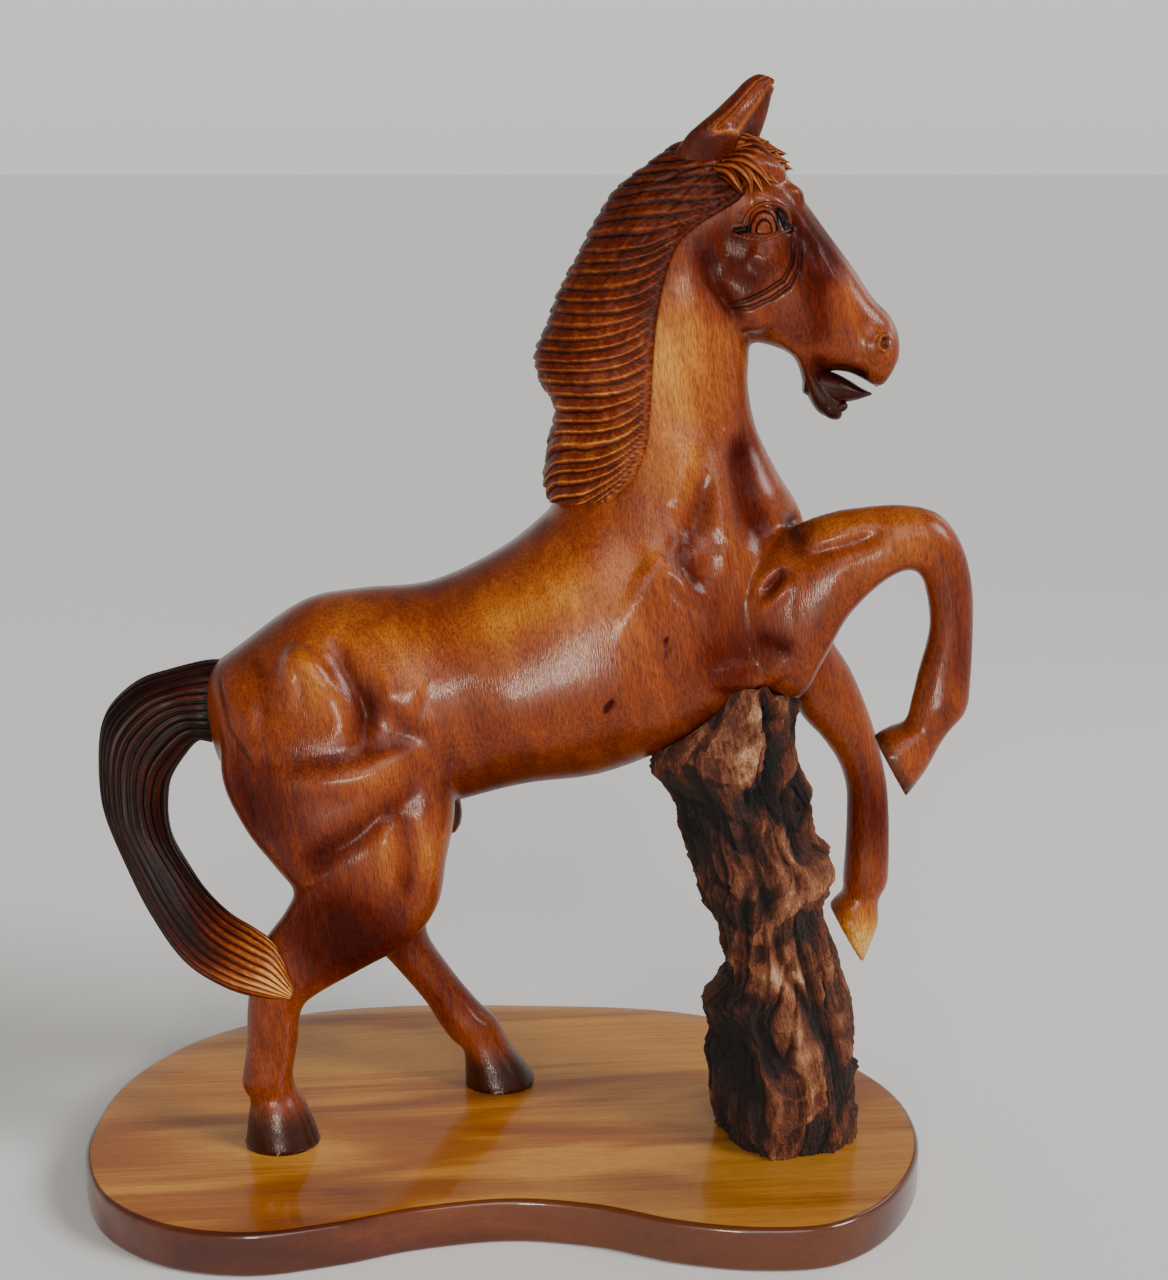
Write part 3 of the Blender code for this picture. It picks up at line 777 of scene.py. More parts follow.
@dataclass
class HorseBody:
    """Trunk, neck, head and legs, run together and carved with muscles and lines."""

    voxel: float = 2.4
    smoothings: int = 9
    head_smoothings: int = 4
    plain_tone: float = 0.40
    deepest_stain_and_shade: float = 0.94
    trunk: Rows = (
        (-158, 263, -152, 211, 0, 20),
        (-144, 273, -131, 188, 0, 38),
        (-106, 300, -91, 170, 0, 46),
        (-74, 307, -46, 182, 0, 46),
        (-36, 311, -13, 192, 0, 46),
        (2, 329, 18, 200, 0, 48),
        (26, 348, 56, 205, 0, 50),
        (30, 353, 95, 220, 0, 50),
        (33, 360, 133, 238, 0, 48),
        (36, 369, 164, 251, 0, 44),
        (38, 377, 173, 296, 0, 40),
        (40, 386, 165, 345, 0, 35),
        (44, 404, 150, 372, 0, 31),
        (47, 425, 139, 394, 0, 28),
        (52, 451, 134, 417, 0, 26),
        (62, 480, 134, 438, 0, 24),
        (79, 508, 130, 452, 0, 24),
        (99, 528, 131, 477, 0, 22),
    )
    head: Rows = (
        (107, 538, 114, 467, 0, 20),
        (125, 538, 129, 444, 0, 23),
        (146, 530, 148, 437, 0, 24),
        (159, 515, 159, 432, 0, 23),
        (172, 498, 165, 426, 0, 20),
        (186, 480, 174, 425, 0, 17),
        (198, 463, 186, 424, 0, 16),
        (207, 454, 195, 420, 0, 16),
        (212, 444, 203, 416, 0, 14),
        (213, 433, 207, 421, 0, 9),
    )
    jaw: Rows = (
        (148, 454, 142, 440, 0, 14),
        (157, 443, 150, 437, 0, 14),
        (166, 431, 159, 430, 0, 12),
        (171, 424, 164, 415, 0, 11),
        (178, 416, 170, 404, 0, 10),
        (185, 409, 178, 399, 0, 7),
    )
    near_fore: Rows = (
        (128, 325, 128, 275, -18, 16),
        (145, 339, 141, 263, -25, 20),
        (162, 350, 161, 255, -32, 19),
        (177, 356, 173, 276, -36, 17),
        (195, 359, 184, 299, -38, 15),
        (213, 360, 198, 316, -40, 14),
        (231, 355, 211, 325, -40, 13.5),
        (243, 339, 220, 325, -40, 13),
        (249, 318, 225, 316, -40, 12.5),
        (250.6, 294, 228, 295, -40, 11.5),
        (250.6, 267, 223, 271, -40, 11.5),
        (249, 251, 220, 255, -40, 13),
        (241, 240, 217, 244, -40, 11),
        (236, 232, 209, 241, -40, 12),
        (229, 218, 201, 236, -40, 14),
        (219, 203, 200, 237, -40, 14),
    )
    far_fore: Rows = (
        (150, 320, 145, 260, 20, 18),
        (167, 318, 163, 243, 28, 18),
        (184, 276, 170, 228, 32, 17),
        (198, 253, 183, 213, 36, 15),
        (209, 228, 193, 198, 38, 14),
        (217, 204, 198, 183, 40, 13),
        (222, 180, 199, 171, 40, 12),
        (224, 150, 199, 150, 40, 11.5),
        (224, 126, 198, 127, 40, 12.5),
        (220, 116, 198, 118, 40, 11),
        (219, 110, 193, 113, 40, 12),
        (219, 98, 194, 104, 40, 13),
        (211, 74, 190, 111, 40, 13),
    )
    near_hind: Rows = (
        (-51, 283, -145, 261, -18, 20),
        (-30, 241, -148, 213, -26, 26),
        (-22, 198, -136, 183, -30, 27),
        (-27, 164, -120, 162, -33, 24),
        (-32, 139, -110, 148, -35, 20),
        (-47, 119, -116, 134, -36, 17),
        (-72, 104, -125, 122, -36, 15),
        (-99, 88, -132, 108, -36, 14),
        (-108, 78, -137, 84, -36, 13),
        (-111, 57, -139, 57, -36, 12),
        (-114, 41, -142, 35, -36, 13.5),
        (-113, 32, -138, 27, -36, 12),
        (-108, 23, -139, 18, -36, 15),
        (-101, 3, -141, 3, -36, 19),
        (-100, -6, -142, -6, -36, 19),
    )
    far_hind: Rows = (
        (-44, 240, -145, 229, 18, 20),
        (-35, 178, -138, 160, 28, 26),
        (-35, 141, -111, 122, 32, 24),
        (-42, 112, -92, 100, 35, 19),
        (-44, 93, -73, 85, 37, 15),
        (-31, 71, -59, 69, 37, 13),
        (-15, 50, -46, 52, 37, 12),
        (-4, 39, -38, 38, 37, 13),
        (1, 29, -31, 28, 37, 12.5),
        (5, 21, -24, 21, 37, 14),
        (17, 4, -23, 2, 37, 18),
        (18, -6, -23, -6, 37, 18),
    )
    swells: Rows = (
        (-86, 264, 37, 25, 7, 9, -48),
        (-106, 258, 34, 26, 8, 10, 88),
        (-44, 212, 34, 26, 11, 13, 84),
        (-92, 214, 36, 40, 18, 15, 70),
        (68, 296, 38, 44, 16, 12, 60),
        (100, 322, 34, 30, 12, 12, 100),
        (122, 271, 33, 22, 12, 11, -10),
        (152, 300, 18, 34, 14, 16, 84),
        (106, 372, 21, 40, 7, 9, 80),
        (131, 470, 15, 25, 21, 9, 118),
        (142, 511, 18, 14, 6, 6, -35),
        (170, 478, 12, 26, 6, 8, -55),
        (199, 440, 12, 10, 9, 6, 60),
        (-26, 178, 0, 11, 6, 7, 80),
        (135, 530, 8, 17, 8, 13, -18),
        (153, 516.5, 9, 8.5, 4.5, 7, -25),
        (200.5, 421, 5, 4.6, 2.8, 5, -35),
    )
    carvings: tuple[Carving, ...] = (
        Carving(((-10, 236), (40, 250), (92, 258)), 28.0, 4.5),
        Carving(((-108, 287), (-101, 277), (-91, 265), (-81, 252), (-75, 234)), 8.5, 2.6),
        Carving(((-88, 290), (-80, 277), (-73, 263), (-68, 250), (-69, 237), (-72, 229)), 6.5, -4.2),
        Carving(((-124, 282), (-122, 262), (-118, 244)), 9.0, -1.8),
        Carving(((-61, 262), (-50, 264), (-36, 258)), 12.0, 1.8),
        Carving(((-62, 256), (-53, 252), (-39, 242), (-31, 237)), 4.5, 0.8, Cut.FOLD),
        Carving(
            ((-35, 237), (-51, 231), (-66, 226), (-84, 222), (-105, 220), (-121, 222)), 6.0, 1.0, Cut.FOLD
        ),
        Carving(((-31, 233), (-47, 225), (-72, 216), (-101, 214)), 8.0, 1.4),
        Carving(((-39, 216), (-48, 203), (-60, 195), (-75, 184), (-94, 173), (-105, 160)), 7.5, -3.4),
        Carving(((-56, 197), (-57, 184), (-57, 168), (-56, 149)), 6.0, 2.2),
        Carving(((-48, 201), (-46, 173), (-46, 145)), 5.0, -3.2),
        Carving(((-35, 233), (-33, 203), (-35, 173), (-37, 147)), 6.5, 1.8),
        Carving(((-131, 255), (-127, 233), (-124, 222)), 5.0, 1.4),
        Carving(((-138, 235), (-134, 210), (-126, 182)), 4.0, -1.3),
        Carving(((-103, 155), (-94, 162), (-88, 164)), 1.7, 1.6, side=Side.NEAR),
        Carving(((100, 397), (100, 381), (98, 367), (95, 355)), 9.0, 1.4),
        Carving(((109, 377), (108, 361), (103, 347), (95, 333)), 7.0, -2.6),
        Carving(((122, 399), (119, 381), (118, 365), (120, 349), (127, 335), (135, 323)), 6.0, 2.6),
        Carving(((125, 397), (128, 379), (132, 361), (138, 345), (145, 335)), 8.5, -4.6),
        Carving(((141, 401), (150, 378), (157, 360)), 8.0, 1.6),
        Carving(((73, 339), (83, 335), (93, 327), (103, 316), (113, 306), (118, 296)), 5.5, 2.3),
        Carving(((93, 339), (101, 327), (110, 315)), 5.5, -2.4),
        Carving(((118, 338), (120, 329), (123, 322)), 3.2, 1.3),
        Carving(((127, 327), (128, 315)), 3.2, 1.1),
        Carving(((155, 332), (147, 327), (141, 321), (137, 312), (136, 303)), 3.2, 1.9),
        Carving(((155, 323), (149, 314), (141, 306), (135, 301)), 3.0, 1.7),
        Carving(((152, 328), (145, 319), (139, 311)), 2.8, -2.4),
        Carving(((142, 273), (150, 266)), 10.0, 2.0),
        Carving(((138, 288), (148, 286), (158, 283)), 5.0, -1.6),
        Carving(((112, 290), (120, 272), (135, 261)), 8.0, -1.4),
        Carving(((154, 333), (154, 316), (155, 304), (158, 294)), 1.6, -0.45, side=Side.NEAR),
        Carving(((160, 353), (157, 343), (157, 333)), 4.5, -4.0, side=Side.NEAR),
        Carving(((158, 332), (170, 337), (186, 342), (200, 347)), 3.2, -2.3, side=Side.NEAR),
        Carving(((160, 340), (172, 346), (186, 351), (200, 354)), 4.5, 1.0, side=Side.NEAR),
        Carving(((189.3, 431), (190.6, 430.5)), 1.7, 0.9, taper=0.0),
        Carving(((107, 490), (113, 470), (122, 458), (131, 446)), 4.5, -2.6),
        Carving(((131, 488), (139, 484), (147, 488)), 6.0, 1.8),
        Carving(((150, 508), (160, 494), (172, 474)), 3.6, -1.3),
        Carving(((126, 503), (139, 511), (152, 505)), 3.0, -1.0),
    )
    lines: tuple[Carving, ...] = (
        Carving(
            ((152, 498), (154, 487), (153, 481), (149, 473), (140, 467), (131, 463), (121, 460)), 1.1, -1.7
        ),
        Carving(
            ((156, 500), (158, 488), (157, 479), (152, 470), (144, 464), (133, 459), (119, 457)), 1.1, -1.5
        ),
        Carving(((158, 486), (158, 477), (157, 470)), 0.8, -0.7),
        Carving(((-147, 264), (-144, 252), (-141, 240), (-135, 230), (-124, 219)), 1.1, -1.1),
        Carving(
            (
                (203, 436.5), (199.8, 438), (199.2, 441), (201, 444), (204, 444.6), (206.2, 442),
                (206, 438.5), (203, 436.5),
            ),
            1.0,
            1.25,
            taper=0.0,
        ),
        Carving(((203, 442), (203.2, 439.5)), 2.0, -2.6, taper=0.0),
        Carving(((176, 428), (186, 427), (196, 423)), 1.3, -1.0),
        Carving(((146.5, 506.5), (149.5, 503), (151.2, 499.5)), 2.4, -2.2, taper=0.0),
        Carving(((124.5, 497.5), (130, 498.5)), 1.4, -1.4, taper=0.0),
    )
    # Tone along carved hollows: most darker rows are partly stain, partly painted shade; the two short
    # near-side rows are dark knots; the last two rows lighten two strips along the back.
    shades: tuple[Carving, ...] = (
        Carving(((125, 397), (128, 379), (132, 361), (138, 345), (145, 335)), 8.0, -0.17),
        Carving(((110, 377), (109, 361), (104, 347), (97, 333)), 6.5, -0.12),
        Carving(((93, 339), (101, 327), (110, 313), (116, 296)), 5.5, -0.14),
        Carving(((-88, 290), (-80, 277), (-73, 263), (-68, 250), (-70, 232)), 5.5, -0.16),
        Carving(((-39, 216), (-48, 203), (-60, 195), (-75, 184), (-94, 173), (-110, 162)), 8.0, -0.08),
        Carving(((-35, 240), (-51, 234), (-66, 229), (-84, 226), (-105, 224)), 4.5, -0.12),
        Carving(((-48, 201), (-46, 173), (-46, 145)), 4.5, -0.12),
        Carving(((166, 482), (168, 458), (170, 436)), 9.5, -0.26),
        Carving(((116, 506), (124, 482), (140, 464)), 21.0, -0.26),
        Carving(((107, 492), (113, 471), (122, 458), (133, 447)), 4.5, -0.14),
        Carving(((150, 524), (168, 494), (184, 472)), 7.0, -0.12),
        Carving(((136, 291), (148, 288), (157, 284)), 5.0, -0.18),
        Carving(((139, 313), (146, 320), (153, 329)), 3.0, -0.22),
        Carving(((90, 291), (91.5, 286), (91, 281)), 0.9, -0.5, side=Side.NEAR, taper=0.0),
        Carving(((59, 254), (62, 258)), 1.4, -0.6, side=Side.NEAR, taper=0.0),
        Carving(((30, 312), (70, 330), (104, 356)), 9.0, 0.10),
        Carving(((-10, 296), (24, 306), (50, 318)), 8.0, 0.10),
    )
    tones: Rows = (
        (88, 436, 30, 0.40),
        (96, 392, 26, 0.22),
        (70, 340, 26, 0.06),
        (36, 318, 24, 0.14),
        (2, 300, 22, 0.20),
        (-40, 288, 18, 0.16),
        (60, 300, 26, 0.10),
        (170, 348, 22, 0.10),
        (212, 352, 26, 0.16),
        (240, 320, 16, -0.06),
        (236, 280, 22, -0.10),
        (240, 245, 12, -0.06),
        (212, 225, 18, 0.10),
        (207, 90, 20, 0.60),
        (214, 170, 30, -0.22),
        (198, 440, 18, 0.08),
        (182, 464, 10, 0.14),
        (163, 492, 20, -0.28),
        (-40, 180, 22, 0.16),
        (-98, 262, 20, 0.12),
        (-84, 294, 24, 0.22),
        (-60, 278, 20, 0.12),
        (-128, 200, 34, -0.22),
        (-84, 130, 28, -0.42),
        (-60, 110, 24, -0.22),
        (-30, 60, 30, -0.12),
        (-125, 60, 22, -0.06),
        (168, 425, 9, -0.30),
        # painted shadow on the chest where the forelegs join
        (124, 280, 22, -0.24),
        (128, 390, 14, -0.12),
        (-62, 258, 8, -0.20),
        (-30, 205, 16, -0.12),
        (0, 205, 30, -0.08),
    )

    def tubes(self) -> list[np.ndarray]:
        """Lofts of the trunk and limbs, and an ellipsoid for each muscle on each side.

        Returns:
            The tubes, in figure units.
        """
        made = [
            rings_of(self.trunk, rings=140, segments=72, power=2.15),
            rings_of(self.head, rings=70, segments=60, power=2.2),
            rings_of(self.jaw, rings=26, segments=36),
        ]
        for leg, segments in (
            (self.near_fore, 44), (self.far_fore, 44), (self.near_hind, 52), (self.far_hind, 52),
        ):
            made.append(rings_of(leg, rings=110, segments=segments, power=2.1))
        for row in self.swells:
            made.extend(ellipsoid(row, side) for side in (-1, 1))
        return made

    def build(self, finish: bpy.types.Material) -> bpy.types.Object:
        """Runs the lofts together, smooths, refines, carves and paints them.

        Args:
            finish: The wood.

        Returns:
            The body.
        """
        made = tubes_object("horse_body", self.tubes())
        fuse = made.modifiers.new("Fuse", "REMESH")
        fuse.mode = "VOXEL"
        fuse.voxel_size = self.voxel * FIGURE_UNIT
        settled(made)
        mesh = made.data
        relax(mesh, np.ones(len(mesh.vertices)), self.smoothings)
        self.refine(mesh, lambda p: (p[:, 0] > 96) & (p[:, 2] > 404))
        self.refine(mesh, self.fine_zone)
        points, _ = vertex_arrays(mesh)
        relax(mesh, 1.0 * (points[:, 2] > 395) * (points[:, 0] > 90), self.head_smoothings)
        self.carve(mesh, self.carvings)
        self.carve(mesh, self.lines)
        self.flatten_soles(mesh)
        self.paint_stain_and_shade(mesh)
        mesh.shade_smooth()
        handed_over(made, finish, "horse")
        return made

    def fine_zone(self, points: np.ndarray) -> np.ndarray:
        """Where the finest lines are cut: eye, cheek, nostril, mouth and tail seam.

        Args:
            points: Points in figure units.

        Returns:
            Whether each point is in the zone.
        """
        near_line = np.zeros(len(points), bool)
        for line in self.lines:
            corners = np.array(line.path)
            side_view = points[:, (0, 2)]
            near = (side_view > corners.min(0) - 4) & (side_view < corners.max(0) + 4)
            rows = np.flatnonzero(np.all(near, axis=1))
            if len(rows):
                distance, _, _ = path_reading(points[rows][:, (0, 2)], line.path)
                near_line[rows[distance < 3.2]] = True
        return near_line & (np.abs(points[:, 1]) > 5)

    def refine(self, mesh: bpy.types.Mesh, zone: Callable[[np.ndarray], np.ndarray]) -> None:
        """Splits the faces of a zone in four.

        Args:
            mesh: Mesh to refine in place.
            zone: Function of the points that marks the zone.
        """
        points, _ = vertex_arrays(mesh)
        inside = zone(points)
        ends = np.empty(len(mesh.edges) * 2, np.int32)
        mesh.edges.foreach_get("vertices", ends)
        chosen = inside[ends.reshape(-1, 2)].all(axis=1)
        shell = bmesh.new()
        shell.from_mesh(mesh)
        edges = [edge for edge, wanted in zip(shell.edges, chosen) if wanted]
        bmesh.ops.subdivide_edges(shell, edges=edges, cuts=1, use_grid_fill=True, smooth=0.0)
        shell.to_mesh(mesh)
        shell.free()

    def carve(self, mesh: bpy.types.Mesh, carvings: tuple[Carving, ...]) -> None:
        """Moves each vertex along its normal by the sum of the carvings' reliefs.

        Args:
            mesh: Mesh to carve in place.
            carvings: What to carve.
        """
        points, normals = vertex_arrays(mesh)
        lift = sum(carving.relief(points, normals) for carving in carvings)
        moved = placed(points + normals * lift[:, None])
        mesh.vertices.foreach_set("co", moved.astype(np.float32).ravel())
        mesh.update()

    def flatten_soles(self, mesh: bpy.types.Mesh) -> None:
        """Presses the hind hooves flat where they stand.

        Args:
            mesh: Mesh to flatten in place.
        """
        points, _ = vertex_arrays(mesh)
        points[:, 2] = np.maximum(points[:, 2], 0.0)
        mesh.vertices.foreach_set("co", placed(points).astype(np.float32).ravel())
        mesh.update()

    def paint_stain_and_shade(self, mesh: bpy.types.Mesh) -> None:
        """Paints tone (0 dark red to 1 gold) and dark (near-black), each holding painted shade as well as the
        wood's colour and stain.

        Args:
            mesh: Mesh to paint.
        """
        points, normals = vertex_arrays(mesh)
        x, y, z = points.T
        tone = np.full(len(points), self.plain_tone)
        for cx, cz, radius, amount in self.tones:
            tone += amount * np.exp(-((x - cx) ** 2 + (z - cz) ** 2) / radius**2)
        # Painted shade: darker where the back faces up and where the body faces down.
        tone -= 0.10 * smoothstep(0.35, 0.9, normals[:, 2]) * (x < 110) * (z > 250)
        tone -= 0.16 * smoothstep(0.3, 0.9, -normals[:, 2]) * (z > 150)
        # Painted shade and light: darker in carved hollows, lighter on ridges.
        lift = sum(c.relief(points, normals) for c in self.carvings[1:])
        tone += 0.045 * np.clip(lift, -3.5, 2.2)
        # Painted shade along the hollows of the shades table.
        tone += sum(c.relief(points, normals) for c in self.shades)
        hooves = smoothstep(30, 12, z) * (x < 40)
        # Masks of painted shade: mouth opening, cut lines, foreleg notch, under the chin and the near fore
        # sole.
        mouth = smoothstep(7, 2, np.abs(y)) * smoothstep(432, 422, z) * (x > 165) * (z > 405)
        grooves = np.clip(-1.0 * sum(c.relief(points, normals) for c in self.lines), 0, 1)
        notch = np.exp(-(((x - 157) / 6) ** 2 + ((z - 344) / 6) ** 2)) * (y < -12)
        chin = smoothstep(-6, 6, x - 166 - 0.30 * (z - 418)) * smoothstep(431, 421, z) * (z > 380) * (x < 196)
        gap, _, _ = path_reading(points[:, (0, 2)], ((198, 240), (219, 201)))
        sole = smoothstep(8.0, 5.5, gap) * (y < -20) * (z > 195)
        sheath = np.exp(-(((x + 22) / 9) ** 2) - ((z - 178) / 14) ** 2) * (np.abs(y) < 9)
        corner = sum(c.relief(points, normals) for c in self.lines[-2:])
        # Near-black on the hind hooves and sheath; painted shade in the mouth, cut lines, foreleg notch,
        # under the chin and on the near fore sole.
        dark = 0.85 * hooves + 0.9 * mouth + 0.6 * grooves + 0.75 * notch
        dark = dark + 0.85 * chin + 0.8 * sheath + 0.62 * sole
        # corner adds painted shade in the eye corners.
        dark = np.clip(dark - 0.7 * corner, 0, self.deepest_stain_and_shade)
        paint(mesh, "tone", tone)
        paint(mesh, "dark", dark)


@dataclass
class Mane:
    """Comb of locks that sweeps back from a raised front edge on both sides.

    The locks are cut as overlapping bands whose lines run level from the rear, then curl up
    to the front edge; below the ears they slant down from the forelock instead.
    """

    rings: int = 420
    across: int = 121
    pitch: float = 6.3
    depth: float = 2.0
    curl: float = 14.0
    curl_reach: float = 0.19
    slant: float = 0.45
    rows: Rows = (
        (118, 543, 136, 527, 14),
        (100, 543, 128, 515, 21),
        (83, 535, 116, 507, 25),
        (66, 520, 104, 500, 27),
        (51, 499, 95, 491, 28),
        (39, 476, 89, 476, 28),
        (31, 458, 85, 456, 30),
        (23, 438, 83, 436, 31),
        (23, 423, 82, 417, 32),
        (30, 406, 81, 402, 34),
        (27, 388, 79, 388, 36),
        (26, 370, 72, 372, 38),
        (30, 352, 57, 357, 34),
    )
    fan: tuple[Path, ...] = (
        ((131, 516), (108, 504), (92, 495)),
        ((131, 521), (110, 509), (93, 496)),
        ((129, 526), (112, 516), (94, 498)),
        ((124, 531), (108, 519), (93, 497)),
        ((114, 533), (103, 516), (92, 496)),
        ((122, 536), (106, 526), (90, 508)),
        ((113, 536), (92, 525), (70, 517)),
    )

    def level(self, x: np.ndarray, z: np.ndarray, rear: np.ndarray, share: np.ndarray) -> np.ndarray:
        """Which lock each point lies on: its height less how far its line has risen, where
        the rise is curl x exp(-share / reach) low down and slant x distance high up.

        Args:
            x: Places along the horse.
            z: Heights.
            rear: Place of the rear outline beside each point.
            share: 0 at the front edge to 1 at the rear.

        Returns:
            Count of locks from the top, with fractions.
        """
        curl = self.curl + 26.0 * smoothstep(425, 352, z)
        low = curl * np.exp(-share / self.curl_reach)
        low = low - 12.0 * smoothstep(405, 372, z) * np.exp(-(1 - share) / 0.07)
        high = self.slant * (x - rear)
        part = smoothstep(484, 510, z - 0.3 * (x - 45))
        start = z - (1 - part) * low - part * high
        return (550 - start) / self.pitch

    def build(self, finish: bpy.types.Material) -> bpy.types.Object:
        """Arched sheet over the neck, cut by the locks' profile: a quick rise from each cut,
        a crest near the next one and a steep drop into it.

        Args:
            finish: The stained wood of the locks.

        Returns:
            The mane.
        """
        turn = np.linspace(-math.pi / 2, math.pi / 2, self.across)
        even = np.linspace(0.008, 0.975, self.rings)[:, None]
        place = even + 0.03 * np.cos(turn) * np.sin(even * math.pi)
        read = spline(self.rows, np.clip(place, 0, 1) * (len(self.rows) - 1))
        share = np.cos(turn) ** 0.85 * np.ones_like(even)
        side = np.sign(turn) * np.abs(np.sin(turn)) ** 0.75
        rear, front = read[..., 0:2], read[..., 2:4]
        line = rear - front
        length = np.linalg.norm(line, axis=-1)
        flat = front + line * share[..., None]
        count = self.level(flat[..., 0], flat[..., 1], rear[..., 0], share)
        near = turn < 0
        count = count + 0.30 * lattice_noise(count * 0.6, share * 1.5 + 9 * near, 5)
        count = count + 0.05 * lattice_noise(count * 2.3, share * 14 + 9 * near, 7)
        lock = np.floor(count)
        part = count - lock
        rise = np.minimum(part / 0.74, 1.0) ** 0.5
        drop = np.clip((part - 0.74) / 0.26, 0, 1) ** 1.6
        band = rise - drop
        size = 0.8 + 0.2 * lattice_noise(lock * 0.77, share * 2.2 + 30 * near, 12)
        strand = lattice_noise(count * 3.4, share * 4 + 20 * near, 6)
        upper = smoothstep(500, 530, flat[..., 1])
        lift = (band * size * (1 - 0.45 * upper) - 0.62) * self.depth + 0.22 * strand
        for path in self.fan:
            distance, _, _ = path_reading(flat.reshape(-1, 2), path)
            cut = np.exp(-((distance / 0.9) ** 2)).reshape(lift.shape) * (share < 0.75)
            lift = lift - 0.9 * cut
        steps = 1.8 * lattice_noise(flat[..., 1] / 14.0, flat[..., 1] * 0 + 3.3, 44) * share**3
        steps = steps + 0.35 * lattice_noise(share * 30, count * 2.1 + 40 * near, 45)
        fade = smoothstep(0.0, 0.03, even) * smoothstep(1.0, 0.985, even)
        lift = (lift + steps) * fade - 1.4 * (1 - fade)
        edge = np.exp(-(((share - 0.03) / 0.04) ** 2))
        lift = lift * (1 - 0.8 * edge) + 0.5 * edge
        flat = front + line * (share * (1 + lift / length))[..., None]
        y = (read[..., 4] + lift) * side
        outer = np.stack([flat[..., 0], y, flat[..., 1]], axis=-1)
        core = front + line * 0.12
        inner = [
            np.stack([core[:, column, 0], 0.72 * y[:, column], core[:, column, 1]], axis=-1)[:, None]
            for column in (-1, 0)
        ]
        made = tubes_object("mane", [np.concatenate([outer, *inner], axis=1)])
        crest = np.exp(-(((part - 0.68) / 0.09) ** 2))
        # grooves: darker in the cuts between locks, partly stain and partly painted shade
        grooves = 1 - smoothstep(0.0, 0.10, part) + smoothstep(0.90, 1.0, part)
        low = smoothstep(480, 390, flat[..., 1])
        chips = lattice_noise(share * 26, count * 1.7 + 25 * near, 46)
        ridge = 0.60 - 0.62 * grooves + 0.06 * strand + 0.10 * chips - 0.08 * upper
        ridge = ridge + 0.75 * edge * (0.50 - ridge)
        rubbed = 0.6 + 0.4 * lattice_noise(share * 9, count * 1.1, 9)
        worn = crest * (1 - edge) * (0.16 + 0.24 * low * rubbed)
        worn = worn + 0.08 * low + 0.06 * low * smoothstep(0.75, 0.2, share) + 0.12 * edge * low
        self.stain(made.data, ridge, worn)
        handed_over(made, finish, "horse")
        return made

    def stain(self, mesh: bpy.types.Mesh, ridge: np.ndarray, worn: np.ndarray) -> None:
        """Paints the sheet's values and plain ones on its hidden inner columns.

        Args:
            mesh: The mane's mesh.
            ridge: Height of the stain's level over the sheet.
            worn: How far it is rubbed light.
        """
        hidden = np.full((len(ridge), 2), 0.2)
        paint(mesh, "ridge", np.append(np.concatenate([ridge, hidden], axis=1).ravel(), [0.2, 0.2]))
        paint(mesh, "worn", np.append(np.concatenate([worn, 0 * hidden], axis=1).ravel(), [0, 0]))


@dataclass
class Tail:
    """Arched tail of long ridges whose tip lies against the near hock."""

    ridges: int = 24
    rings: int = 260
    segments: int = 288
    rows: Rows = (
        (-146, 268, -146, 220, 0, 16),
        (-159, 267, -156, 221, 0, 20),
        (-179, 262, -164, 222, 0, 20),
        (-195, 257, -172, 214, -2, 20),
        (-209, 246, -180, 201, -4, 20),
        (-216, 233, -182, 187, -6, 20),
        (-218, 211, -181, 176, -9, 19),
        (-216, 189, -178, 166, -12, 19),
        (-206, 162, -170, 154, -17, 18),
        (-191, 131, -159, 141, -24, 17),
        (-172, 106, -146, 132, -32, 16),
        (-149, 94, -131, 126, -40, 15),
        (-128, 90, -118, 118, -46, 12),
        (-112, 90, -109, 98, -48, 6),
    )

    def build(self, finish: bpy.types.Material) -> bpy.types.Object:
        """Tube whose radius rises and falls with the angle: one wave for each ridge and
        finer ones for its strands, all drifting slowly round as they run down.

        Args:
            finish: The stained wood of the locks.

        Returns:
            The tail.
        """
        tube = rings_of(self.rows, self.rings, self.segments)
        down = np.linspace(0, 1, self.rings)[:, None]
        turn = np.arange(self.segments) / self.segments
        bend = 0.35 * lattice_noise(turn * 8, down * 5, 21, 8) + 0.6 * down
        count = turn * self.ridges + bend * np.ones_like(turn)
        ridge = np.abs(np.sin(math.pi * count)) ** 0.5
        strand = np.abs(np.sin(math.pi * (2 * count + 0.4 * np.sin(9 * down + turn * 40)))) ** 0.8
        deep = 0.65 + 0.5 * lattice_noise(turn * 11, down * 4, 23, 11)
        size = np.minimum(1.0, 0.35 + 6 * (1 - down)) * smoothstep(0.02, 0.10, down)
        lift = (-1.35 + 1.7 * ridge * deep + 0.3 * strand) * size
        middle = tube.mean(axis=1, keepdims=True)
        out = tube - middle
        reach = np.linalg.norm(out, axis=-1, keepdims=True)
        made = tubes_object("tail", [tube + out / reach * lift[..., None]])
        patch = lattice_noise(turn * 10, down * 9, 24, 10)
        tip = smoothstep(0.66, 0.97, down)
        worn = 0.50 * tip * ridge - 0.20 * (1 - tip) + 0.12 * patch * ridge
        worn = worn - 0.2 * smoothstep(0.10, 0.02, down)
        # level is darker between the ridges: partly stain, partly painted shade
        level = 0.62 * ridge * deep + 0.14 * strand
        paint(made.data, "ridge", np.append(level.ravel(), [0.3, 0.3]))
        paint(made.data, "worn", np.append(worn.ravel(), [0.0, 0.3]))
        handed_over(made, finish, "horse")
        return made


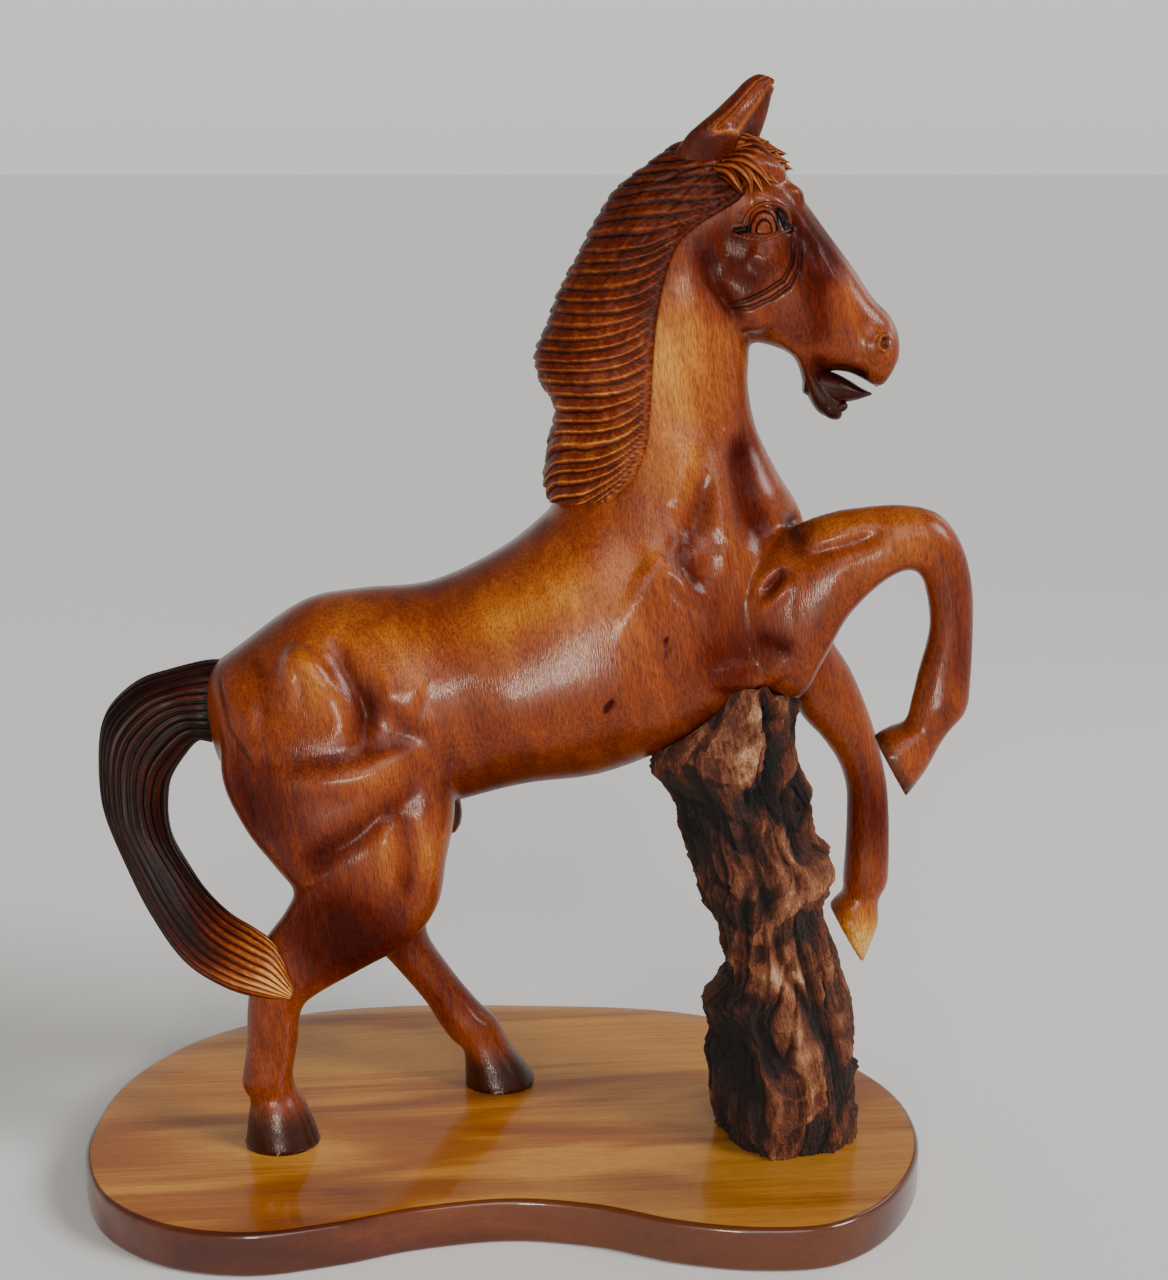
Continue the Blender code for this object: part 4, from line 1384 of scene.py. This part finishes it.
@dataclass
class Ears:
    """Two pricked ears: broad leaves with a deep hollow and a thin bright rim."""

    near: Rows = (
        (84, 518, 116, 512, -8, 5),
        (91, 532, 122, 530, -10, 6.5),
        (99, 544, 126, 543, -13.5, 8),
        (104, 549, 130, 551, -15.5, 8.5),
        (113, 556.5, 134, 557, -17.5, 8),
        (122, 565, 137.5, 563, -18.5, 7),
        (128, 571, 140.5, 567.5, -19, 5.6),
        (134, 574.2, 142.5, 570, -19, 3.8),
        (139.5, 573.4, 142.8, 571.4, -19, 1.2),
    )
    far: Rows = (
        (95, 518, 126, 512, 8, 5),
        (102, 532, 134, 529, 10, 6.5),
        (109, 543, 138, 542, 13.5, 8),
        (114, 548, 140.5, 549, 15.5, 8.5),
        (121, 555, 142.5, 555, 17.5, 8),
        (128, 563, 144, 561, 18.5, 7),
        (133, 569, 145, 565.5, 19, 5.6),
        (138, 572, 146, 568, 19, 3.8),
        (143, 571.2, 146, 569.2, 19, 1.2),
    )
    rings: int = 100
    segments: int = 120
    hollow_angle: float = -2.15
    hollow_spread: float = 1.02
    hollow_depth: float = 0.80

    def leaf(self, side: int) -> tuple[np.ndarray, np.ndarray]:
        """Loft up the ear; a share of each section is drawn in to its middle to hollow it.

        Args:
            side: -1 for the near ear, 1 for the far one.

        Returns:
            The rings and how deep each point lies in the hollow.
        """
        tube = rings_of(self.near if side < 0 else self.far, self.rings, self.segments)
        share = np.linspace(0, 1, self.rings)[:, None]
        angle = np.arange(self.segments) * 2 * math.pi / self.segments
        away = np.abs((angle + side * self.hollow_angle + math.pi) % (2 * math.pi) - math.pi)
        depth = smoothstep(1.0, 0.62, away / self.hollow_spread)
        depth = depth * smoothstep(0.24, 0.46, share) * smoothstep(1.0, 0.93, share)
        middle = tube.mean(axis=1, keepdims=True)
        tube = middle + (tube - middle) * (1 - self.hollow_depth * depth)[..., None]
        return tube, depth

    def build(self, finish: bpy.types.Material) -> list[bpy.types.Object]:
        """Makes both ears.

        Args:
            finish: The wood.

        Returns:
            The near ear and the far ear.
        """
        made = []
        for name, side in (("near_ear", -1), ("far_ear", 1)):
            points, depth = self.leaf(side)
            ear = tubes_object(name, [points])
            height = np.linspace(0, 1, self.rings)[:, None]
            rim = np.exp(-(((depth - 0.20) / 0.13) ** 2)) * (height > 0.27)
            tone = 0.24 + 0.34 * rim + depth * (0.36 - 0.30 * height)
            paint(ear.data, "tone", np.append(tone.ravel(), [0.3, 0.3]))
            dark = 0.26 * (1 - depth) * (1 - rim) * smoothstep(0.9, 0.3, height)
            paint(ear.data, "dark", np.append(dark.ravel(), [0, 0]))
            handed_over(ear, finish, "horse")
            made.append(ear)
        return made


@dataclass
class Forelock:
    """Small hooked locks with pointed ends that fall forward between the ears."""

    rings: int = 28
    segments: int = 20
    thickness: float = 1.25
    grooves: int = 4
    far_shift: Triple = (-0.8, 0.0, -0.6)
    locks: tuple[Rows, ...] = (
        ((117, -5, 538, 2.8), (126, -7, 541, 3.0), (132, -8, 540.5, 2.4), (137, -8, 542.5, 1.8)),
        ((119, -3, 540, 2.8), (128, -4, 542.5, 3.0), (136, -5, 541, 2.4), (142.5, -5, 542, 1.8)),
        ((122, -6, 538, 3.0), (132, -8, 540, 3.2), (140, -9, 537, 2.6), (147.5, -9, 537.5, 1.8)),
        ((124, -2, 539, 3.0), (135, -3, 540.5, 3.2), (144, -3, 537, 2.8), (152, -3, 535.5, 1.8)),
        ((124, -8, 536, 3.0), (134, -11, 537, 3.4), (143, -12, 532.5, 2.8), (152.5, -11, 531.5, 2.0)),
        ((126, -5, 536, 3.0), (137, -7, 536.5, 3.2), (147, -7, 531, 2.8), (154.5, -7, 527.5, 1.8)),
        ((121, -12, 534, 2.8), (131, -15, 534.5, 3.2), (140, -16, 529.5, 2.8), (149, -14, 526, 1.9)),
        ((124, -10, 533, 2.8), (134, -14, 532, 3.0), (141, -16, 526, 2.6), (147, -15.5, 519.5, 1.8)),
        ((119, -14, 532, 2.8), (128, -19, 532, 3.0), (136, -20, 526.5, 2.6), (142.5, -19.5, 519, 1.8)),
        ((121, -13, 530, 2.6), (129, -18, 528.5, 3.0), (134, -21, 522.5, 2.4), (138.5, -21.5, 515.5, 1.7)),
        ((117, -15, 530, 2.6), (124, -21, 529, 2.8), (130, -23.5, 523, 2.4), (132, -24, 514.5, 1.7)),
        ((115, -16, 528, 2.4), (120, -22, 526, 2.6), (124, -24, 521, 2.2), (127.5, -24.5, 516.5, 1.6)),
        ((128, -9, 535, 2.2), (137, -12, 533, 2.6), (144, -13.5, 528.5, 2.2), (148, -13.5, 522.5, 1.6)),
        ((130, -4, 538, 2.2), (139, -5.5, 538, 2.6), (146, -6, 533.5, 2.2), (151, -6, 532.5, 1.6)),
        ((126, -13, 532, 2.2), (133, -17, 530, 2.4), (138.5, -19, 524.5, 2.0), (144.5, -18, 521.5, 1.5)),
    )

    def lock(self, stations: Rows) -> np.ndarray:
        """Tapered tube along a spline, with grooves along it.

        Args:
            stations: Points (x, y, z) down its middle and its radius there.

        Returns:
            Its rings.
        """
        read = spline(stations, self.rings)
        line, radius = read[:, :3], read[:, 3:]
        tangent = np.gradient(line, axis=0)
        tangent /= np.linalg.norm(tangent, axis=1, keepdims=True)
        out = np.cross(tangent, np.array([0.0, 1.0, 0.0]))
        out /= np.linalg.norm(out, axis=1, keepdims=True)
        side = np.cross(tangent, out)
        angle = np.arange(self.segments) * 2 * math.pi / self.segments
        share = np.linspace(0, 1, self.rings)[:, None]
        size = self.thickness * radius * (1 - share**3.2) + 0.05
        groove = 1 + 0.15 * np.cos(self.grooves * angle)
        return (
            line[:, None]
            + (0.85 * size * np.cos(angle) * groove)[..., None] * out[:, None]
            + (size * np.sin(angle) * groove)[..., None] * side[:, None]
        )

    def build(self, finish: bpy.types.Material) -> bpy.types.Object:
        """Lays the locks on the near side, and on the far side the same ones turned over.

        Args:
            finish: The stained wood of the locks.

        Returns:
            The forelock.
        """
        tubes = [self.lock(stations) for stations in self.locks]
        tubes += [tube * (1, -1, 1) + self.far_shift for tube in tubes]
        made = tubes_object("forelock", tubes)
        angle = np.arange(self.segments) * 2 * math.pi / self.segments
        share = np.linspace(0, 1, self.rings)[:, None]
        top = 0.5 + 0.5 * np.cos(angle) * np.ones_like(share)
        height = 0.38 + 0.34 * np.cos(self.grooves * angle) * np.ones_like(share)
        one = np.append(height.ravel(), [0.3, 0.6])
        worn = np.append((0.10 + 0.28 * top * share).ravel(), [0.1, 0.4])
        paint(made.data, "ridge", np.tile(one, len(tubes)))
        paint(made.data, "worn", np.tile(worn + 0.10, len(tubes)))
        handed_over(made, finish, "horse")
        return made


@dataclass
class Face:
    """Eyeballs under carved lids, and the tongue with the rounded lower lip."""

    lid_rings: int = 72
    lid_segments: int = 16
    dome_rings: int = 70
    dome_segments: int = 80
    probe: float = 80.0
    plain_depth: float = 20.0
    eye: tuple[float, float] = (138.4, 497.2)
    ball: Triple = (8.8, 13.2, 4.6)
    droop: float = 0.14
    upper: Path = (
        (127.5, 499), (129.8, 505), (134, 509.3), (139.5, 511.4), (145.5, 510.4), (150.5, 506.6),
        (153, 499.5),
    )
    lower: Path = (
        (121.5, 496.6), (126, 495), (131, 493.8), (137, 493.2), (142.5, 494.4), (148, 496.6), (153, 498.4),
    )
    tongue: Rows = (
        (164, 427, 163, 413, 0, 8),
        (173, 425.5, 171, 408.5, 0, 9),
        (180, 423.5, 179, 407, 0, 9),
        (187, 420, 185, 408, 0, 8),
        (194, 415.6, 192, 409.5, 0, 5.5),
        (199.5, 413, 199, 411.8, 0, 1.2),
    )
    lumps: Rows = (
        (177.0, 405.5, 2.5, 8.0, 4.8, 6.0, -42),
        (182.5, 406.0, 3.0, 4.2, 3.0, 4.2, 12),
        (170.0, 414.0, 3.0, 8.0, 4.0, 7.0, -55),
    )

    def depth_of(self, tree: BVHTree, x: float, z: float, side: int) -> float:
        """Half width of the head at a place in the side view.

        Args:
            tree: The head's surface.
            x: Place along the horse.
            z: Height.
            side: -1 or 1.

        Returns:
            The half width in figure units.
        """
        at = placed(np.array([x, side * self.probe, z]))
        hit, _, _, _ = tree.ray_cast(Vector(at), Vector((0, -side, 0)))
        return abs(hit.y) / FIGURE_UNIT if hit else self.plain_depth

    def cord(
        self, tree: BVHTree, path: Path, side: int, thick: float, lift: float, nicks: float
    ) -> np.ndarray:
        """Rounded lid along a line on the head, thin at its ends.

        Args:
            tree: The head's surface.
            path: The line in the side view.
            side: -1 or 1.
            thick: Its radius.
            lift: How far its middle stands off the surface.
            nicks: Depth of the lash cuts over its rear half, as a share of the radius.

        Returns:
            Its rings.
        """
        flat = spline(path, self.lid_rings)
        depth = np.array([self.depth_of(tree, x, z, side) for x, z in flat])
        depth = np.convolve(np.pad(depth, 4, mode="edge"), np.ones(9) / 9, "valid")
        line = np.stack([flat[:, 0], side * (depth + lift), flat[:, 1]], axis=-1)
        tangent = np.gradient(line, axis=0)
        tangent /= np.linalg.norm(tangent, axis=1, keepdims=True)
        out = np.tile([0.0, float(side), 0.0], (self.lid_rings, 1))
        up = np.cross(out, tangent)
        angle = np.arange(self.lid_segments) * 2 * math.pi / self.lid_segments
        share = np.linspace(0, 1, self.lid_rings)
        size = thick * np.minimum(1, 3.5 * np.sin(math.pi * np.clip(share, 0.01, 0.99)) ** 0.8)
        size = size * (1 - nicks * (0.5 + 0.5 * np.cos(share * 90)) * (share < 0.62))
        size = size[:, None]
        return (
            line[:, None]
            + (size * np.cos(angle))[..., None] * out[:, None]
            + (size * np.sin(angle))[..., None] * up[:, None]
        )

    def eyeball(self, tree: BVHTree, side: int) -> tuple[np.ndarray, np.ndarray]:
        """Low dome, flatter below, with two carved arches one inside the other.

        Args:
            tree: The head's surface.
            side: -1 or 1.

        Returns:
            Its rings and the depth of the cuts between the arches.
        """
        x, z = self.eye
        base = self.depth_of(tree, x, z, side)
        share = np.linspace(0.02, 1, self.dome_rings)[:, None]
        angle = np.arange(self.dome_segments) * 2 * math.pi / self.dome_segments
        wide, tall, deep = self.ball
        dome = np.sqrt(np.clip(1 - share**2, 0, 1))
        cuts = sum(np.exp(-(((share - ring) / 0.055) ** 2)) for ring in (0.46, 0.78))
        cuts = cuts * np.ones(self.dome_segments)
        up = np.sin(angle) * np.where(np.sin(angle) > 0, 1.0, self.droop)
        u = x + wide * share * np.cos(angle)
        v = z + tall * share * up
        y = side * (base - 2.4 + deep * dome - 0.7 * cuts)
        return np.stack([u, y, v], axis=-1), cuts

    def eyes(self, tree: BVHTree, wood: bpy.types.Material) -> None:
        """Sets an eyeball and two lids on each side.

        Args:
            tree: The head's surface.
            wood: The wood.
        """
        for side, word in ((-1, "near"), (1, "far")):
            dome, cuts = self.eyeball(tree, side)
            ball = tubes_object(f"{word}_eye", [dome])
            reach = dome[..., 0] - self.eye[0]
            corner = smoothstep(5.0, 7.0, reach) + smoothstep(-6.0, -7.8, reach)
            # Painted shade: darker in the cuts between the arches, near-black at the eye's corners.
            paint(ball.data, "tone", np.append((0.30 - 0.25 * cuts).ravel(), [0.3, 0.3]))
            dark = (0.75 * cuts + 0.95 * corner).clip(0, 0.95)
            paint(ball.data, "dark", np.append(dark.ravel(), [0, 0]))
            lids = tubes_object(
                f"{word}_lids",
                [
                    self.cord(tree, self.upper, side, 1.0, 0.3, 0.0),
                    self.cord(tree, self.lower, side, 0.95, 0.1, 0.45),
                ],
            )
            paint(lids.data, "tone", np.full(len(lids.data.vertices), 0.30))
            paint(lids.data, "dark", np.zeros(len(lids.data.vertices)))
            handed_over(ball, wood, "horse")
            handed_over(lids, wood, "horse")

    def build(self, wood: bpy.types.Material, body: bpy.types.Object) -> None:
        """Sets eyes, lids and tongue on the carved head.

        Args:
            wood: The wood.
            body: The carved body.
        """
        tree = BVHTree.FromObject(body, bpy.context.evaluated_depsgraph_get())
        self.eyes(tree, wood)
        shapes = [rings_of(self.tongue, 60, 40)]
        for row in self.lumps:
            shapes += [ellipsoid(row, side) for side in (-1, 1)]
        tongue = tubes_object("tongue_and_lip", shapes)
        count = len(tongue.data.vertices)
        paint(tongue.data, "tone", np.full(count, 0.25))
        # near-black here is painted shade inside the mouth
        paint(tongue.data, "dark", np.full(count, 0.74))
        handed_over(tongue, wood, "horse")


@dataclass
class Stump:
    """Rough root: fissures, ridges and rotted hollows, its top shaped to the belly."""

    rings: int = 280
    segments: int = 340
    top_ring: int = 26
    under_belly: float = 140.0
    clearance: float = 0.4
    rows: Rows = (
        (106, 262, 160, 284, 0, 34),
        (101, 240, 163, 262, 0, 36),
        (88, 224, 166, 242, 0, 36),
        (85, 215, 165, 230, 0, 36),
        (87, 204, 166, 213, 0, 35),
        (97, 191, 169, 199, 0, 34),
        (99, 180, 174, 189, -1, 34),
        (101, 172, 173, 180, -2, 33),
        (104, 165, 175, 168, -3, 33),
        (108, 153, 183, 159, -4, 33),
        (111, 145, 184, 148, -5, 33),
        (113, 134, 183, 138, -6, 33),
        (120, 126, 179, 131, -7, 33),
        (124, 116, 183, 117, -9, 33),
        (126, 102, 188, 104, -11, 33),
        (125, 88, 191, 89, -12, 33),
        (117, 79, 194, 79, -13, 33),
        (116, 70, 196, 70, -14, 34),
        (119, 59, 197, 56, -15, 34),
        (117, 46, 199, 44, -17, 35),
        (119, 33, 200, 33, -18, 35),
        (121, 20, 200, 20, -19, 36),
        (124, 8, 200, 8, -20, 37),
        (126, 0, 199, 0, -20, 37),
    )
    cuts: tuple[Carving, ...] = (
        Carving(
            ((142, 262), (147, 241), (148, 222), (149, 204), (153, 196)), 4.2, -7.5, side=Side.NEAR, taper=0.1
        ),
        Carving(((154, 256), (156, 234), (159, 218), (160, 204)), 4.0, 3.0, side=Side.NEAR),
        Carving(((133, 198), (141, 199), (149, 201)), 5.5, -8.0, side=Side.NEAR, taper=0.15),
        Carving(((103, 184), (106, 172)), 5.5, -4.5, side=Side.NEAR),
        Carving(((119, 240), (127, 232), (136, 221), (144, 213)), 4.5, 2.4, side=Side.NEAR),
        Carving(((139, 252), (142, 236), (144, 224)), 3.2, 2.2, side=Side.NEAR),
        Carving(((145, 194), (150, 176), (153, 159), (156, 141), (154, 133)), 3.8, 3.6, side=Side.NEAR),
        Carving(((153, 194), (156, 174), (160, 153), (160, 138)), 3.2, 2.6, side=Side.NEAR),
        Carving(((132, 188), (138, 166), (144, 145), (148, 131)), 3.2, -5.0, side=Side.NEAR),
        Carving(((146, 133), (149, 118), (151, 104), (153, 91)), 1.8, 3.2, side=Side.NEAR, taper=0.1),
        Carving(((143, 119), (146, 108)), 2.2, -3.5, side=Side.NEAR),
        Carving(((157, 105), (163, 101), (170, 96)), 2.4, 2.0, side=Side.NEAR),
        Carving(((151, 131), (153, 113), (162, 96), (172, 77), (176, 54)), 2.6, -4.5, side=Side.NEAR),
        Carving(
            ((159, 131), (165, 113), (172, 95), (177, 74), (186, 52), (191, 18)), 3.0, -6.0, side=Side.NEAR
        ),
        Carving(((160, 184), (163, 171), (166, 162)), 2.2, -3.5, side=Side.NEAR),
        Carving(((177, 166), (181, 156), (181, 144)), 4.5, 4.5, side=Side.NEAR),
        Carving(((173, 134), (175, 121)), 2.5, -5.0, side=Side.NEAR),
        Carving(((172, 98), (178, 103), (188, 107)), 1.6, -3.0, side=Side.NEAR, taper=0.1),
        Carving(((180, 96), (188, 76), (193, 54), (197, 24)), 5.0, 2.5, side=Side.NEAR),
        Carving(((160, 82), (166, 67), (170, 51)), 3.0, 2.4, side=Side.NEAR),
        Carving(((126, 80), (134, 51), (143, 26)), 9.0, -4.5, side=Side.NEAR),
        Carving(((112, 162), (117, 149), (117, 137)), 3.4, 3.0, side=Side.NEAR),
        Carving(((117, 82), (116, 69), (119, 57)), 5.0, 3.5, side=Side.NEAR),
        Carving(((96, 216), (112, 190), (126, 160), (134, 128)), 7.0, -2.0, side=Side.NEAR),
        Carving(((120, 244), (134, 208), (142, 168), (150, 120), (168, 60)), 5.0, -4.0, side=Side.FAR),
        Carving(((150, 238), (154, 200), (160, 160), (170, 110)), 6.0, 3.0, side=Side.FAR),
        Carving(((134, 150), (142, 144), (148, 136)), 6.0, -5.0, side=Side.FAR),
    )

    def build(self, finish: bpy.types.Material, body: bpy.types.Object) -> bpy.types.Object:
        """Tube with layered noise, then the named cuts; its top follows the belly above it.

        Args:
            finish: The root's wood.
            body: The horse's body, which it carries.

        Returns:
            The stump.
        """
        tube = rings_of(self.rows, self.rings, self.segments, 2.2)
        turn = np.arange(self.segments) / self.segments
        height = tube[..., 2]
        bend = 0.02 * np.sin(height * 0.05) + 0.012 * lattice_noise(turn * 8, height / 30, 30, 8)
        around = turn + bend + height * 0.0006
        wide = lattice_noise(around * 9, height / 60, 31, 9)
        plates = lattice_noise(around * 16, height / 34, 32, 16)
        cracks = np.abs(lattice_noise(around * 14, height / 75, 33, 14))
        splits = np.abs(lattice_noise(around * 34, height / 42, 34, 34))
        fibre = lattice_noise(around * 90, height / 14, 35, 90)
        crumb = lattice_noise(around * 150, height / 2.6, 36, 150)
        shelf = lattice_noise(around * 11, height / 19 + 2 * wide, 38, 11)
        shelf = 2.2 * (smoothstep(-0.02, 0.06, shelf) - 0.5)
        rib = 1 - np.abs(lattice_noise(around * 20 + 0.5 * plates, height / 58, 39, 20))
        chip = lattice_noise(around * 28, height / 8 + 3 * wide, 40, 28)
        lift = 1.3 * wide + 1.0 * plates + shelf + 3.0 * (rib**3 - 0.4) + 1.1 * smoothstep(-0.05, 0.05, chip)
        lift -= 2.8 * (1 - smoothstep(0.0, 0.10, cracks))
        lift -= 1.5 * (1 - smoothstep(0.0, 0.16, splits))
        lift += 0.6 * fibre + 0.5 * crumb
        out = tube - tube.mean(axis=1, keepdims=True)
        out = out / np.linalg.norm(out, axis=-1, keepdims=True)
        named = sum(cut.relief(tube.reshape(-1, 3), out.reshape(-1, 3)) for cut in self.cuts)
        named = named.reshape(lift.shape)
        rough = named * (1 + 0.25 * fibre) + lift * (1 - 0.35 * smoothstep(0, 5, np.abs(named)))
        tube = self.fitted(tube + out * rough[..., None], body)
        made = tubes_object("root_stump", [tube])
        patches = lattice_noise(around * 12, height / 25, 37, 12)
        dust = 0.30 * np.exp(-(((height - 101) / 9) ** 2)) * smoothstep(0.0, 0.5, -out[..., 1])
        # Painted shade: darker on the left side and low down.
        left = -0.20 * smoothstep(-0.15, 0.6, -out[..., 0]) - 0.12 * smoothstep(110, 30, height)
        # raised: lighter on ridges and darker in cracks and cuts, partly painted light and shade; dust adds a
        # pale band.
        raised = 0.43 + 0.09 * lift + 0.07 * named + 0.06 * patches + dust + left
        paint(made.data, "raised", np.append(raised.ravel(), [0.5, 0.2]))
        handed_over(made, finish, "stump")
        return made

    def fitted(self, tube: np.ndarray, body: bpy.types.Object) -> np.ndarray:
        """Presses the foot to the slab, and each line of points under the belly.

        Args:
            tube: Rings from the top down.
            body: The horse's body.

        Returns:
            The rings, fitted.
        """
        tube[..., 2] = np.maximum(tube[..., 2], 0.0)
        tree = BVHTree.FromObject(body, bpy.context.evaluated_depsgraph_get())
        tops = []
        for x, y, z in tube[self.top_ring]:
            start = placed(np.array([x, y, self.under_belly]))
            hit, _, _, _ = tree.ray_cast(Vector(start), Vector((0, 0, 1)))
            tops.append((hit.z - SOLE) / FIGURE_UNIT - self.clearance if hit else z)
        limit = np.convolve(np.concatenate([tops[-4:], tops, tops[:4]]), np.ones(9) / 9, "valid")
        tube[..., 2] = np.minimum(tube[..., 2], limit)
        return tube


@dataclass
class Slab:
    """Kidney-shaped plank with softly rounded edges, brownest at one end and in front."""

    edge: float = 3.0
    edge_steps: int = 7
    points: int = 320
    flat_rings: int = 16
    flat_shares: tuple[float, float] = (0.04, 0.90)
    rim_shade: float = 0.9
    outline: Path = (
        (8, -103),
        (54, -109),
        (97, -125),
        (140, -132),
        (180, -126),
        (213, -95),
        (234, -42),
        (231, 17),
        (203, 68),
        (155, 115),
        (95, 140),
        (10, 147),
        (-75, 146),
        (-140, 131),
        (-192, 96),
        (-223, 43),
        (-231, -10),
        (-227, -55),
        (-207, -99),
        (-170, -128),
        (-125, -137),
        (-80, -127),
        (-40, -112),
    )

    def build(self, finish: bpy.types.Material) -> bpy.types.Object:
        """Rings of the outline: in from the middle, round each edge on an arc, and back.

        Args:
            finish: The varnished wood.

        Returns:
            The slab.
        """
        low, high = (np.array(corner) / FIGURE_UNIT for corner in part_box("base"))
        rim = spline(self.outline, self.points, closed=True)
        rim = (rim - rim.min(0)) / (rim.max(0) - rim.min(0)) * (high - low)[:2] + low[:2]
        ahead = np.roll(rim, -1, axis=0) - np.roll(rim, 1, axis=0)
        inward = np.stack([-ahead[:, 1], ahead[:, 0]], axis=-1)
        inward /= np.linalg.norm(inward, axis=1, keepdims=True)
        middle = rim.mean(axis=0)
        turns = np.linspace(0, math.pi / 2, self.edge_steps)
        lower = [(self.edge * (1 - math.sin(t)), low[2] + self.edge * (1 - math.cos(t))) for t in turns]
        upper = [(inset, high[2] + low[2] - z) for inset, z in lower[::-1]]
        levels = []
        for share in np.linspace(*self.flat_shares, self.flat_rings):
            levels.append(np.c_[middle + (rim - middle) * share, np.full(len(rim), low[2])])
        for inset, z in lower + upper:
            levels.append(np.c_[rim + inward * inset, np.full(len(rim), z)])
        for share in np.linspace(*self.flat_shares[::-1], self.flat_rings):
            levels.append(np.c_[middle + (rim - middle) * share, np.full(len(rim), high[2])])
        rings = np.array(levels) - (0.0, 0.0, SOLE / FIGURE_UNIT)
        made = tubes_object("slab", [rings])
        side = np.zeros(rings.shape[:2])
        # rim: edge rings for the red-brown edge, partly end grain and partly a painted reflection
        side[self.flat_rings + 1 : self.flat_rings + 2 * self.edge_steps - 1] = self.rim_shade
        paint(made.data, "rim", np.append(side.ravel(), [0.0, 0.0]))
        x, y = rings[..., 0], rings[..., 1]
        front = np.exp(-(((y + 92) / 26) ** 2)) * smoothstep(-150, -60, x)
        streaky = smoothstep(60, 190, x - 0.5 * y) + 0.8 * front
        paint(made.data, "streaky", np.append(streaky.clip(0, 1).ravel(), [0.0, 0.0]))
        handed_over(made, finish, "base")
        return made


@dataclass
class Studio:
    """Pale floor, soft lights and the camera at the photograph's viewing angle."""

    distance: float = 1.05
    side_shift: float = 0.0475
    camera_height: float = 0.56
    pitch: float = 13.7
    focal_pixels: float = 1987.0
    photo_height: float = 1280.0
    sensor: float = 36.0
    floor_half: float = 60.0
    sky_strength: float = 1.05

    def build(self) -> None:
        """Makes the floor, the lights, the sky and the camera."""
        self.floor()
        self.sky()
        self.sun("window_front", 8.0, 26.0, 34.0, 0.95)
        self.area("low_window", (-0.22, -1.75, 0.24), (0.0, 0.0, 0.27), 13.0, 0.27, "fff2e0")
        self.sun("window_right", 66.0, 34.0, 22.0, 2.1)
        self.area("window_back", (1.0, 0.55, 0.95), (0.05, 0.0, 0.30), 2.2, 0.5, "fff6ea")
        view = bpy.data.cameras.new("view")
        view.sensor_width = self.sensor
        view.lens = self.sensor * self.focal_pixels / self.photo_height
        view.clip_start = 0.01
        eye = bpy.data.objects.new("view", view)
        eye.location = (self.side_shift, -self.distance, self.camera_height)
        eye.rotation_euler = (math.radians(90 - self.pitch), 0, 0)
        bpy.context.scene.collection.objects.link(eye)
        bpy.context.scene.camera = eye

    def floor(self) -> None:
        """Wide pale floor under the slab."""
        mesh = bpy.data.meshes.new("floor")
        half = self.floor_half
        corners = [(-half, -half, 0), (half, -half, 0), (half, half, 0), (-half, half, 0)]
        mesh.from_pydata(corners, [], [(0, 1, 2, 3)])
        made = bpy.data.objects.new("floor", mesh)
        bpy.context.scene.collection.objects.link(made)
        finish, _, shader = new_finish("pale_painted_board")
        shader.inputs["Base Color"].default_value = linear("f4f3f0")
        shader.inputs["Roughness"].default_value = 0.9
        mesh.materials.append(finish)

    def sky(self) -> None:
        """Surround that is pale at the horizon, dimmer overhead and dimmest behind the camera."""
        world = bpy.data.worlds.new("pale_room")
        world.use_nodes = True
        tree = world.node_tree
        node = partial(add_node, tree)
        where = node("ShaderNodeTexCoord", output="Generated")
        height = node("ShaderNodeSeparateXYZ", {0: where}, output="Z")
        ahead = node("ShaderNodeSeparateXYZ", {0: where}, output="Y")
        dim_range = {"Value": ahead, "From Min": -0.6, "From Max": 0.1, "To Min": 0.5, "To Max": 1.0}
        dim = node("ShaderNodeMapRange", dim_range)
        greys = {0.0: "e2e2e0", 0.12: "efeeec", 0.4: "9a9896", 1.0: "787674"}
        shade = node("ShaderNodeValToRGB", {"Fac": height}, stops=greys)
        dimmed = node("ShaderNodeMix", {0: 1.0, 6: shade, 7: dim}, output=2, data_type="RGBA",
                      blend_type="MULTIPLY")
        feed(tree, tree.nodes["Background"], {"Color": dimmed, "Strength": self.sky_strength})
        bpy.context.scene.world = world

    def sun(self, name: str, azimuth: float, height: float, spread: float, strength: float) -> None:
        """Distant window: a sun with a wide disc.

        Args:
            name: Name of the light.
            azimuth: Degrees to the right of the camera, seen from the piece.
            height: Degrees above the horizon.
            spread: Width of its disc in degrees.
            strength: Its strength.
        """
        data = bpy.data.lights.new(name, "SUN")
        data.energy = strength
        data.angle = math.radians(spread)
        made = bpy.data.objects.new(name, data)
        side, up = math.radians(azimuth), math.radians(height)
        towards = Vector((math.sin(side) * math.cos(up), -math.cos(side) * math.cos(up), math.sin(up)))
        made.rotation_euler = towards.to_track_quat("Z", "Y").to_euler()
        bpy.context.scene.collection.objects.link(made)

    def area(self, name: str, place: Triple, aim: Triple, power: float, size: float, colour: str) -> None:
        """Square soft light that looks at a point.

        Args:
            name: Name of the light.
            place: Where it hangs.
            aim: What it looks at.
            power: Its power in watts.
            size: Its side in metres.
            colour: Its sRGB hex colour.
        """
        data = bpy.data.lights.new(name, "AREA")
        data.energy = power
        data.size = size
        data.color = linear(colour)[:3]
        made = bpy.data.objects.new(name, data)
        made.location = place
        made.rotation_euler = (Vector(aim) - Vector(place)).to_track_quat("-Z", "Y").to_euler()
        bpy.context.scene.collection.objects.link(made)


def main() -> None:
    """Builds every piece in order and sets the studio."""
    logging.basicConfig(level=logging.INFO, format="%(name)s %(message)s")
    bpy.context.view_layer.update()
    wood = CarvedWoodFinish().build()
    hair = HairFinish().build()
    body = HorseBody().build(wood)
    Mane().build(hair)
    Tail().build(hair)
    Ears().build(wood)
    Forelock().build(hair)
    Face().build(wood, body)
    Stump().build(RoughRootFinish().build(), body)
    Slab().build(SlabFinish().build())
    Studio().build()


if __name__ == "__main__":
    main()
